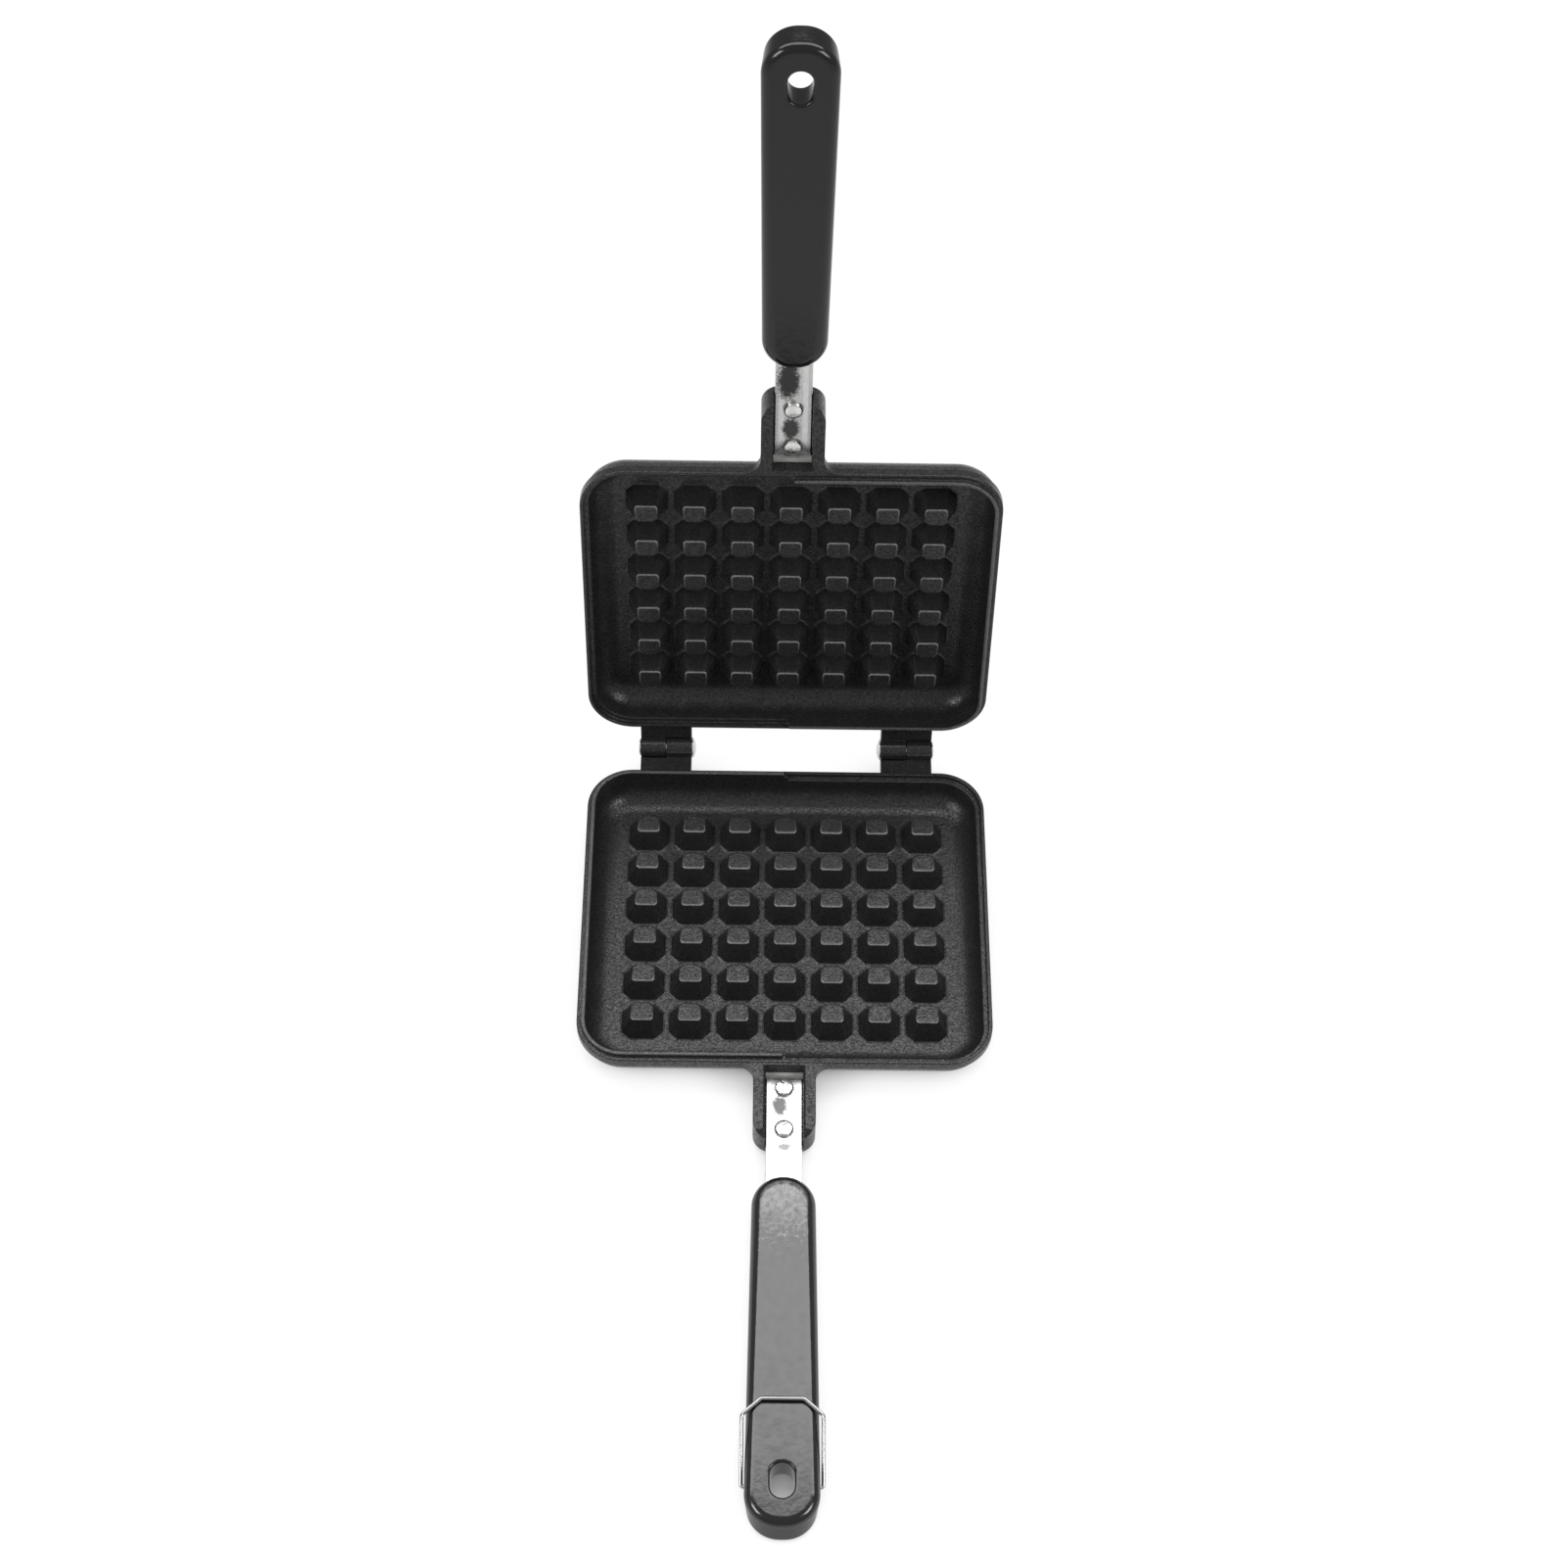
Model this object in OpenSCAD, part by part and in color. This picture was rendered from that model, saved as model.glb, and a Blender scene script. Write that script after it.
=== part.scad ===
// Hinged two-sided waffle pan: two like cast plates, riveted steel shanks, moulded handles and
// a wire latch. The lower half lies flat and the upper half leans back on its hinge stop.
// Each half is drawn with the hinge axis along X through the origin, its parting face at z = 0
// and its handle towards -Y, and is then put in its place.

/* [Plates] */
// Width of a plate across its rim
plate_w = 160; // [150:0.5:180]
// Length of a plate from its hinge side to its handle side
plate_l = 135.6; // [125:0.1:150]
// Gap from the hinge axis to the plate's hinge side
hinge_setback = 11.2; // [10.5:0.1:14]
// Outside radius of a plate's corners
corner_r = 18; // [16:0.5:24]
// Depth of the batter cavity below the parting face
cavity_depth = 13.2; // [11:0.1:16]
// Thickness of the plate's floor
floor_t = 2.8; // [2.2:0.1:4]
// Width of the rim at the parting face
rim_w = 3.2; // [2.8:0.1:4]
// Height of the upright band round the rim
band_h = 4.2; // [3:0.1:6]
// How far the wall below the band is set back from it
band_step = 1.3; // [0.8:0.1:1.8]
// Radius of the cove between the cavity's wall and its floor
cove_r = 8.5; // [6:0.1:9.5]
// Gap left between the two rims when the pan is shut
parting_gap = 0.2; // [0.1:0.05:0.4]

/* [Sealing bead] */
// Height of the bead above the parting face
bead_h = 1.8; // [1:0.1:2.5]
// Width of the bead
bead_w = 1.4; // [1:0.05:1.6]
// Clearance round the bead in the groove of the other plate
bead_clearance = 0.3; // [0.2:0.05:0.5]
// Distance from the centre line to the end of the bead
bead_end_x = 0.8; // [0.5:0.1:6]

/* [Studs] */
// Columns of studs across a plate
stud_cols = 7; // [5:2:7]
// Rows of studs from hinge to handle
stud_rows = 6; // [4:1:6]
// Distance between columns
stud_pitch_x = 18.4; // [17.5:0.1:18.8]
// Distance between rows
stud_pitch_y = 17.5; // [16.5:0.1:17.9]
// Height of a stud above the cavity's floor
stud_h = 8.8; // [6:0.1:10]
// Width of a stud at its foot
stud_foot_x = 16.1; // [13:0.1:17]
// Length of a stud at its foot
stud_foot_y = 15.2; // [13:0.1:16]
// Width of a stud at its top
stud_top_x = 8.4; // [6:0.1:10]
// Length of a stud at its top
stud_top_y = 7.6; // [6:0.1:10]
// Cut-off of a stud's foot corners
stud_foot_cut = 3.4; // [2:0.1:4.5]
// Cut-off of a stud's top corners
stud_top_cut = 1.5; // [0.8:0.1:2.5]
// Shift of the studs from the plate's middle towards the hinge
stud_shift = 0.6; // [0:0.1:1]

/* [Hinges] */
// Angle between the two plates as they stand open
open_angle = 98.6; // [92:0.1:112]
// Distance from the centre line to the middle of each hinge
hinge_x = 49; // [42:0.5:56]
// Width of one hinge, both knuckles together
hinge_w = 20.6; // [16:0.1:26]
// Radius of a knuckle
knuckle_r = 4.2; // [3.6:0.1:4.8]
// Side gap between the two knuckles
knuckle_gap = 0.3; // [0.2:0.05:0.6]
// Wall of the neck round the other plate's knuckle
neck_wall = 3.6; // [2.5:0.1:4.4]
// Radial gap round the other plate's knuckle
neck_gap = 0.4; // [0.3:0.05:0.6]
// Radius of the hinge pin
pin_r = 2; // [1.5:0.05:2.6]
// Radial running clearance of the pin in the knuckles
pin_clearance = 0.06; // [0.02:0.01:0.1]
// Radius of the pin's domed head
pin_head_r = 4.2; // [3.2:0.1:4.6]
// Height of the pin's domed head
pin_head_h = 1.7; // [1:0.1:2.4]
// Radius of the pin's closed-over end
pin_tail_r = 3.5; // [2.8:0.1:4]
// Height of the pin's closed-over end
pin_tail_h = 0.9; // [0.6:0.1:1.5]
// Angle left free at the hinge's stop faces
stop_free = 0.8; // [0.4:0.1:1.5]

/* [Lug and shank] */
// Outside width of the lug that carries the shank
lug_w = 23.8; // [22:0.1:28]
// Length of the lug beyond the plate
lug_l = 31.6; // [29:0.1:36]
// Radius of the lug's far corners
lug_corner_r = 7; // [5:0.1:10]
// Drop of the lug's rails below the parting face
lug_drop = 0.3; // [0.2:0.1:2]
// Thickness of the lug's floor
lug_floor_t = 2.8; // [2:0.1:2.9]
// Radius of the fillets between the lug and the plate
lug_fillet_r = 6.2; // [2:0.1:7]
// Length of the sloping ends of the rails
rail_slope_l = 3.2; // [3:0.1:8]
// Drop of the sloping ends of the rails
rail_slope_h = 3; // [1:0.1:4]
// Bevel along the inner top edges of the rails
rail_bevel = 0.8; // [0.3:0.1:1.2]
// Width of the steel shank
shank_w = 13.8; // [12:0.1:15]
// Thickness of the steel shank
shank_t = 2.2; // [1.6:0.1:2.4]
// Depth of the shank's flat top below the parting face
shank_depth = 7.9; // [7:0.1:8.2]
// Side gap between the shank and the lug's rails
shank_gap = 0.3; // [0.1:0.05:0.5]
// Distance from the plate's edge to the recess for the shank
recess_start = 1; // [0.5:0.1:2]
// Length of the ledge between the recess wall and the shank's end
ledge_l = 1.5; // [1:0.1:3]
// Rise of the ledge above the shank's flat top
ledge_h = 2.1; // [0.5:0.1:3]
// Gap between the ledge and the shank's end
shank_end_gap = 0.2; // [0.1:0.05:1]
// Width of the shallow channel pressed along the shank
pressing_w = 8.4; // [7.8:0.1:9]
// Depth of the pressed channel
pressing_d = 0.4; // [0.2:0.05:0.6]

/* [Rivets] */
// Distance from the plate to the first rivet
rivet_start = 6.6; // [6.4:0.1:8]
// Distance between the two rivets
rivet_pitch = 17.6; // [10:0.1:18.4]
// Radius of a rivet's body
rivet_r = 2; // [1.5:0.1:2.4]
// Radius of a rivet's domed head
rivet_head_r = 3.65; // [3:0.05:3.8]
// Height of a rivet's domed head
rivet_head_h = 1.7; // [1:0.1:2.2]
// Radius of a rivet's closed end under the lug
rivet_tail_r = 3.2; // [2.8:0.1:3.8]
// Height of a rivet's closed end
rivet_tail_h = 1.2; // [0.8:0.1:1.6]

/* [Handles] */
// Distance from the lug to the handle
handle_gap = 13.2; // [8:0.1:20]
// Length of a handle
handle_l = 138.1; // [120:0.1:160]
// Width of a handle near the plate
handle_w_near = 24; // [22:0.1:26]
// Width of a handle near its free end
handle_w_far = 26.9; // [26:0.1:30]
// Thickness of a handle
handle_t = 11.4; // [10:0.1:11.8]
// Depth of a handle's inner face below the parting face
handle_depth = 3.7; // [3.4:0.1:4]
// Plan radius of the near end's corners
handle_near_r = 11.9; // [9:0.1:11.9]
// Plan radius of the free end's corners
handle_far_r = 12.5; // [11:0.1:12.9]
// Edge rounding of both faces at the near end
handle_near_edge = 4.7; // [2.5:0.1:4.9]
// Edge rounding of the inner face at the free end
handle_front_edge = 3.3; // [2.5:0.1:4.9]
// Edge rounding of the outer face at the free end
handle_back_edge = 2.5; // [2:0.1:4.9]
// How much narrower on each side the outer face's outline is at the free end
handle_back_inset = 0.8; // [0:0.1:1.5]
// How much further the outer face's outline reaches at the free end
handle_back_reach = 1.7; // [0:0.1:2.5]
// Length of the shank's tang inside the handle
tang_l = 45; // [30:1:70]
// Radius of the two keying holes in the tang
key_r = 2.4; // [1.5:0.1:3]
// Distance between the keying holes
key_pitch = 18; // [10:0.5:19]
// Distance from the handle's near end to the first keying hole
key_start = 16; // [10:0.5:20]

/* [Hanging holes] */
// Width of the oblong hanging hole
slot_w = 8.8; // [7:0.1:10]
// Length of the hanging hole
slot_l = 12.9; // [12:0.1:15]
// Bevel round the mouth of the hanging hole
slot_bevel = 0.9; // [0.4:0.1:1]
// Distance from the free end to the middle of the hanging hole
slot_from_end = 18.4; // [17:0.1:23]

/* [Latch wire] */
// Radius of the wire
wire_r = 0.75; // [0.6:0.05:0.9]
// Bend radius of the wire's middle at the slanting corners
wire_bend_r = 2; // [1.6:0.1:2.6]
// Bend radius of the wire's middle at the pivots
pivot_bend_r = 1.1; // [1:0.05:1.15]
// Distance from the free end to the latch's pivot
latch_from_end = 17.7; // [16:0.1:21]
// Distance from the pivot to the cross bar
latch_reach = 31.1; // [29.5:0.1:38]
// Length of the flat part of the cross bar
latch_bar_w = 15.2; // [10:0.1:18]
// Length of the slanting corners along the legs
latch_corner_l = 5.9; // [5:0.1:9]
// Side gap between the latch's legs and the handle
latch_side_gap = 0.35; // [0.3:0.05:0.8]
// Depth of the pivots in the handle's sides
pivot_depth = 4.5; // [3:0.1:5]
// Radial running clearance of the pivots
pivot_clearance = 0.07; // [0.03:0.01:0.1]
// Gap between the resting latch and the handle's face
latch_rest_gap = 0.65; // [0.5:0.05:0.9]

/* [Hidden] */

// Fineness of round surfaces and of the rounded handle shells
fine = 64;
soft = 32;
// How far one solid runs into another that it is part of
bite = 0.5;
// Reach of a cut past the face that it opens
past = 1;
// How much fatter the wire is in its bends, and how far the straight runs reach into them
elbow_swell = 0.02;
elbow_overlap = 0.15;

plate_near = hinge_setback;
plate_far = hinge_setback + plate_l;
plate_mid = hinge_setback + plate_l / 2;
underside = cavity_depth + floor_t;
band_top = -parting_gap / 2;
groove_depth = bead_h + bead_clearance;
bead_in = rim_w - bead_w;

wall_draft = 0.5;
cove_top = cavity_depth - cove_r;
cove_inset = rim_w + wall_draft + cove_r;
outer_cove_r = cove_inset + 0.4 - band_step;
outer_cove_inset = band_step + outer_cove_r;
outer_cove_top = max(underside - outer_cove_r, band_h + 0.4);

neck_r = knuckle_r + neck_gap + neck_wall;
neck_top = -1.2;
stop_angle = 180 + open_angle / 2 + stop_free / 2;

lug_end = plate_far + lug_l;
lug_floor = -(shank_depth + shank_t);
lug_bottom = lug_floor - lug_floor_t;
recess_wall = plate_far + recess_start;
ledge_end = recess_wall + ledge_l;
ledge_top = ledge_h - shank_depth;
channel_w = shank_w + 2 * shank_gap;
rivet_u = [plate_far + rivet_start, plate_far + rivet_start + rivet_pitch];

handle_near = lug_end + handle_gap;
handle_far = handle_near + handle_l;
handle_mid_z = -(handle_depth + handle_t / 2);
shank_start = ledge_end + shank_end_gap;
tang_end = handle_near + tang_l;
key_u = [handle_near + key_start, handle_near + key_start + key_pitch];

slot_u = handle_far - slot_from_end;
latch_u = handle_far - latch_from_end;
taper_near = handle_near + handle_near_r;
taper_far = handle_far - handle_back_reach - handle_far_r;
handle_w_at_latch = handle_w_near
    + (handle_w_far - handle_w_near) * (latch_u - taper_near) / (taper_far - taper_near);
leg_x = handle_w_far / 2 + latch_side_gap + wire_r;
pivot_x = handle_w_at_latch / 2 - pivot_depth;
latch_lift = wire_r + latch_rest_gap + handle_t / 2;
latch_rest_angle = asin(latch_lift / latch_reach);

plate_colour = "#2a2a2b";
handle_colour = "#141414";
steel_colour = "#c9cacc";

function arc_points(centre, r, from, to, steps) =
    [for (i = [0:steps]) centre + r * [cos(from + (to - from) * i / steps),
                                       sin(from + (to - from) * i / steps)]];

// Profiles are lists of [inset from the plate's outline, height]
outer_profile = concat(
    [[0, bead_h], [0, -band_h], [band_step * 0.7, -band_h - 0.4]],
    arc_points([outer_cove_inset, -outer_cove_top], outer_cove_r, 180, 270, 6));
cavity_profile = concat(
    [[rim_w, bead_h + past], [rim_w, 0]],
    arc_points([cove_inset, -cove_top], cove_r, 180, 270, 6));

// Solid with a rounded plan whose edge follows a profile all the way round
module swept_plan(profile, top) {
    last = profile[len(profile) - 1];
    floor_z = last[1];
    module section(span) {
        half = [for (p = profile) [span / 2 - p[0], p[1]]];
        mirrored = [for (i = [len(profile) - 1:-1:0]) [profile[i][0] - span / 2, profile[i][1]]];
        polygon(concat(half, mirrored));
    }
    module corner() {
        rotate_extrude(angle = 90, $fn = fine)
            polygon(concat([for (p = profile) [corner_r - p[0], p[1]]],
                           [[0, floor_z], [0, top]]));
    }
    translate([0, -plate_mid, 0]) {
        rotate([90, 0, 90])
            linear_extrude(plate_w - 2 * corner_r, center = true) section(plate_l);
        rotate([90, 0, 0])
            linear_extrude(plate_l - 2 * corner_r, center = true) section(plate_w);
        for (turn = [0:3]) {
            across = turn == 0 || turn == 3 ? 1 : -1;
            along = turn < 2 ? 1 : -1;
            translate([across * (plate_w / 2 - corner_r), along * (plate_l / 2 - corner_r), 0])
                rotate([0, 0, 90 * turn]) corner();
        }
    }
}

module plan_prism(inset, low, high) {
    swept_plan([[inset, high], [inset, low]], high);
}

module half_space(from_x, to_x) {
    translate([from_x, -plate_far - past, -underside])
        cube([to_x - from_x, plate_l + 2 * past, 2 * underside]);
}

// Brings the rim down to the band, leaving the bead on one side and the groove on the other
module rim_cuts() {
    reach = plate_w;
    difference() {
        plan_prism(-past, band_top, bead_h + past);
        intersection() {
            plan_prism(bead_in, band_top - past, bead_h + 2 * past);
            half_space(-reach, -bead_end_x);
        }
    }
    intersection() {
        plan_prism(bead_in - bead_clearance, -groove_depth, band_top + past);
        half_space(bead_end_x - bead_clearance, reach);
    }
}

// One stud: an eight-sided block that narrows to its top
module stud() {
    function ring(x, y, cut, z) = [
        [x / 2, cut - y / 2, z], [x / 2, y / 2 - cut, z], [x / 2 - cut, y / 2, z],
        [cut - x / 2, y / 2, z], [-x / 2, y / 2 - cut, z], [-x / 2, cut - y / 2, z],
        [cut - x / 2, -y / 2, z], [x / 2 - cut, -y / 2, z]];
    foot = ring(stud_foot_x, stud_foot_y, stud_foot_cut, -cavity_depth);
    top = ring(stud_top_x, stud_top_y, stud_top_cut, -cavity_depth + stud_h);
    root = ring(stud_foot_x, stud_foot_y, stud_foot_cut, -cavity_depth - bite);
    sides = [for (level = [0:1], i = [0:7])
        [8 * level + i, 8 * level + (i + 1) % 8, 8 * level + 8 + (i + 1) % 8, 8 * level + 8 + i]];
    polyhedron(points = concat(top, foot, root),
               faces = concat(sides, [[for (i = [7:-1:0]) i]], [[for (i = [0:7]) 16 + i]]));
}

module studs() {
    for (col = [0:stud_cols - 1], row = [0:stud_rows - 1])
        translate([(col - (stud_cols - 1) / 2) * stud_pitch_x,
                   stud_shift - plate_mid - (row - (stud_rows - 1) / 2) * stud_pitch_y, 0])
            stud();
}

// Cross-section of a hinge neck, in [distance from the axis, height]
module neck_section(pocket) {
    root = plate_near + rim_w;
    difference() {
        union() {
            circle(neck_r, $fn = fine);
            translate([0, -neck_r]) square([root, neck_r + neck_top]);
        }
        translate([-2 * neck_r, neck_top]) square([4 * neck_r, 2 * neck_r]);
        rotate(stop_angle - 180)
            translate([-2 * neck_r, 0]) square([2 * neck_r, 3 * neck_r]);
        if (pocket)
            circle(knuckle_r + neck_gap, $fn = fine);
    }
}

// A block along X whose section is drawn in [distance from the axis, height]
module along_x(from_x, to_x) {
    translate([from_x, 0, 0]) rotate([90, 0, 90])
        linear_extrude(to_x - from_x) mirror([1, 0]) children();
}

// Both hinges of one casting: its own knuckle on the +X half of each
module hinge_arms() {
    for (side = [-1, 1]) {
        middle = side * hinge_x;
        along_x(middle + knuckle_gap / 2, middle + hinge_w / 2) {
            neck_section(false);
            circle(knuckle_r, $fn = fine);
        }
        along_x(middle - hinge_w / 2, middle + knuckle_gap / 2) neck_section(true);
    }
}

module hinge_bores() {
    for (side = [-1, 1])
        translate([side * hinge_x - hinge_w, 0, 0]) rotate([0, 90, 0])
            cylinder(r = pin_r + pin_clearance, h = 2 * hinge_w, $fn = fine);
}

module lug_block() {
    root = plate_far - outer_cove_inset;
    height = -lug_bottom - lug_drop;
    straight = lug_end - lug_corner_r;
    translate([0, 0, lug_bottom]) {
        translate([-lug_w / 2, -straight, 0]) cube([lug_w, straight - root, height]);
        translate([lug_corner_r - lug_w / 2, -lug_end, 0])
            cube([lug_w - 2 * lug_corner_r, lug_end - root, height]);
        for (side = [-1, 1])
            translate([side * (lug_w / 2 - lug_corner_r), -straight, 0])
                cylinder(r = lug_corner_r, h = height, $fn = fine);
    }
}

module lug_fillets() {
    height = band_h - lug_drop;
    for (side = [-1, 1])
        difference() {
            translate([side > 0 ? lug_w / 2 - bite : -lug_w / 2 - lug_fillet_r,
                       -plate_far - lug_fillet_r, -band_h])
                cube([lug_fillet_r + bite, lug_fillet_r + bite, height]);
            translate([side * (lug_w / 2 + lug_fillet_r), -plate_far - lug_fillet_r, -band_h - past])
                cylinder(r = lug_fillet_r, h = height + 2 * past, $fn = fine);
        }
}

// The channel for the shank, its bevelled edges and the sloping rail ends
module lug_cuts() {
    edge = rail_bevel;
    channel = lug_end - recess_wall + past;
    translate([-channel_w / 2, -recess_wall - channel, ledge_top])
        cube([channel_w, channel, -ledge_top + past]);
    translate([-channel_w / 2, -recess_wall - channel, lug_floor])
        cube([channel_w, channel - ledge_l, -lug_floor + past]);
    for (side = [-1, 1])
        translate([side * channel_w / 2, -recess_wall, -lug_drop]) rotate([90, 0, 0])
            linear_extrude(channel)
                polygon([[-side * edge, past], [-side * edge, -edge], [0, -edge],
                         [side * edge, 0], [side * edge, past]]);
    rotate([90, 0, 90])
        linear_extrude(2 * lug_w, center = true)
            polygon([[-lug_end + rail_slope_l, -lug_drop],
                     [-lug_end - past, -lug_drop - rail_slope_h * (1 + past / rail_slope_l)],
                     [-lug_end - past, past], [-lug_end + rail_slope_l, past]]);
}

module rivet_holes() {
    for (u = rivet_u)
        translate([0, -u, lug_bottom - past])
            cylinder(r = rivet_r, h = -lug_bottom, $fn = fine);
}

// One cast plate with its hinge arms, rim and lug
module casting() {
    color(plate_colour)
    difference() {
        union() {
            difference() {
                union() {
                    swept_plan(outer_profile, bead_h);
                    lug_block();
                    lug_fillets();
                    hinge_arms();
                }
                swept_plan(cavity_profile, bead_h + past);
                rim_cuts();
            }
            studs();
        }
        hinge_bores();
        lug_cuts();
        rivet_holes();
    }
}

// A domed button on a disc: the head shape of pins and rivets, its flat side at z = 0
module dome(r, h) {
    edge_h = h * 0.25;
    ball_r = (r * r + (h - edge_h) * (h - edge_h)) / (2 * (h - edge_h));
    rotate_extrude($fn = fine)
        intersection() {
            square([r, h]);
            translate([0, h - ball_r]) circle(ball_r, $fn = 4 * fine);
        }
}

// Pin of one hinge: the head is on the side towards the centre line
module hinge_pin(side) {
    inner = hinge_x - hinge_w / 2 - knuckle_gap / 2;
    outer = hinge_x + hinge_w / 2 + knuckle_gap / 2;
    color(steel_colour)
    mirror([side > 0 ? 1 : 0, 0, 0]) {
        translate([-outer, 0, 0]) rotate([0, 90, 0])
            cylinder(r = pin_r, h = outer - inner, $fn = fine);
        translate([-inner, 0, 0]) rotate([0, 90, 0]) dome(pin_head_r, pin_head_h);
        translate([-outer, 0, 0]) rotate([0, -90, 0]) dome(pin_tail_r, pin_tail_h);
    }
}

// Steel strip from the lug into the handle
module shank() {
    bottom = -(shank_depth + shank_t);
    color(steel_colour)
    difference() {
        translate([-shank_w / 2, -tang_end, bottom])
            cube([shank_w, tang_end - shank_start, shank_t]);
        translate([-pressing_w / 2, -handle_near, -shank_depth - pressing_d])
            cube([pressing_w, handle_near - shank_start + past, pressing_d + past]);
        for (u = rivet_u)
            translate([0, -u, bottom - past]) cylinder(r = rivet_r, h = shank_t + 2 * past, $fn = fine);
        for (u = key_u)
            translate([0, -u, bottom - past]) cylinder(r = key_r, h = shank_t + 2 * past, $fn = fine);
    }
}

module rivet(index) {
    seat = -shank_depth - pressing_d;
    color(steel_colour)
    translate([0, -rivet_u[index], 0]) {
        translate([0, 0, lug_bottom]) cylinder(r = rivet_r, h = seat - lug_bottom, $fn = fine);
        translate([0, 0, seat]) dome(rivet_head_r, rivet_head_h);
        translate([0, 0, lug_bottom]) rotate([180, 0, 0]) dome(rivet_tail_r, rivet_tail_h);
    }
}

// A flat disc with its upper edge rounded and its face at height 0
module rounded_disc(r, edge) {
    rotate_extrude($fn = soft)
        polygon(concat([[0, -edge]], arc_points([r - edge, -edge], edge, 0, 90, 5), [[0, 0]]));
}

// The handle's shell, stretched over four rounded discs at each of its faces
module handle_shell() {
    near_x = handle_w_near / 2 - handle_near_r;
    front_x = handle_w_far / 2 - handle_far_r;
    back_r = handle_far_r - handle_back_inset;
    back_u = handle_far - back_r;
    module face(far_x, far_u, far_r, far_edge) {
        translate([0, 0, handle_t / 2])
            for (side = [-1, 1]) {
                translate([side * near_x, -taper_near, 0]) rounded_disc(handle_near_r, handle_near_edge);
                translate([side * far_x, -far_u, 0]) rounded_disc(far_r, far_edge);
            }
    }
    translate([0, 0, handle_mid_z])
        hull() {
            face(front_x, taper_far, handle_far_r, handle_front_edge);
            mirror([0, 0, 1]) face(front_x, back_u, back_r, handle_back_edge);
        }
}

// The oblong hole right through the handle, bevelled at both mouths
module hanging_slot() {
    r = slot_w / 2;
    half = slot_l / 2 - r;
    module mouth() {
        for (side = [-1, 1])
            translate([0, side * half, 0])
                cylinder(r1 = r, r2 = r + slot_bevel + past, h = slot_bevel + past, $fn = fine);
        rotate([90, 0, 0])
            linear_extrude(2 * half, center = true)
                polygon([[-r, 0], [r, 0], [r + slot_bevel + past, slot_bevel + past],
                         [-r - slot_bevel - past, slot_bevel + past]]);
    }
    translate([0, -slot_u, handle_mid_z]) {
        for (side = [-1, 1])
            translate([0, side * half, 0])
                cylinder(r = r, h = handle_t + 2 * past, center = true, $fn = fine);
        cube([slot_w, 2 * half, handle_t + 2 * past], center = true);
        translate([0, 0, handle_t / 2 - slot_bevel]) mouth();
        mirror([0, 0, 1]) translate([0, 0, handle_t / 2 - slot_bevel]) mouth();
    }
}

// The space that the tang fills, less the moulding that fills its keying holes
module tang_socket() {
    bottom = -(shank_depth + shank_t);
    difference() {
        translate([-shank_w / 2, -tang_end, bottom])
            cube([shank_w, tang_l + past, shank_t]);
        for (u = key_u)
            translate([0, -u, bottom - past]) cylinder(r = key_r, h = shank_t + 2 * past, $fn = fine);
    }
}

module handle(pivots) {
    color(handle_colour)
    difference() {
        handle_shell();
        hanging_slot();
        tang_socket();
        if (pivots)
            for (side = [-1, 1])
                translate([side * pivot_x, -latch_u, handle_mid_z]) rotate([0, side * 90, 0])
                    cylinder(r = wire_r + pivot_clearance, h = handle_w_far, $fn = fine);
    }
}

// A round wire along points in the XY plane, with an elbow of given radius at each inner point
module bent_wire(points, bends) {
    count = len(points);
    function heading(i) = let (step = points[i + 1] - points[i]) atan2(step[1], step[0]);
    function turn(i) = let (raw = heading(i) - heading(i - 1))
        raw > 180 ? raw - 360 : raw < -180 ? raw + 360 : raw;
    function trim(i) = i == 0 || i == count - 1 ? 0 : bends[i - 1] * tan(abs(turn(i)) / 2);
    function overlap(i) = i == 0 || i == count - 1 ? 0 : elbow_overlap;
    for (i = [0:count - 2]) {
        start = trim(i) - overlap(i);
        run = norm(points[i + 1] - points[i]) - start - trim(i + 1) + overlap(i + 1);
        translate([points[i][0], points[i][1], 0]) rotate([0, 0, heading(i)])
            translate([start, 0, 0]) rotate([0, 90, 0])
                cylinder(r = wire_r, h = run, $fn = fine);
    }
    for (i = [1:count - 2]) {
        sense = turn(i) > 0 ? 1 : -1;
        r = bends[i - 1];
        translate([points[i][0], points[i][1], 0]) rotate([0, 0, heading(i - 1)])
            translate([-trim(i), sense * r, 0])
                rotate([0, 0, sense > 0 ? -90 : 90 - abs(turn(i))])
                    rotate_extrude(angle = abs(turn(i)), $fn = fine)
                        translate([r, 0]) circle(wire_r + elbow_swell, $fn = fine);
    }
}

module latch_wire() {
    corner = latch_reach - latch_corner_l;
    color(steel_colour)
    translate([0, -latch_u, handle_mid_z]) rotate([latch_rest_angle, 0, 0])
        bent_wire([[-pivot_x - 0.3, 0], [-leg_x, 0], [-leg_x, corner], [-latch_bar_w / 2, latch_reach],
                   [latch_bar_w / 2, latch_reach], [leg_x, corner], [leg_x, 0], [pivot_x + 0.3, 0]],
                  [pivot_bend_r, wire_bend_r, wire_bend_r, wire_bend_r, wire_bend_r, pivot_bend_r]);
}

// Puts a half in its place, with the middle of the lower plate's underside at the origin
module lower_half() {
    translate([0, plate_mid, underside]) children();
}

module upper_half() {
    translate([0, plate_mid, underside]) rotate([-open_angle, 0, 0]) rotate([0, 180, 0]) children();
}

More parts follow.
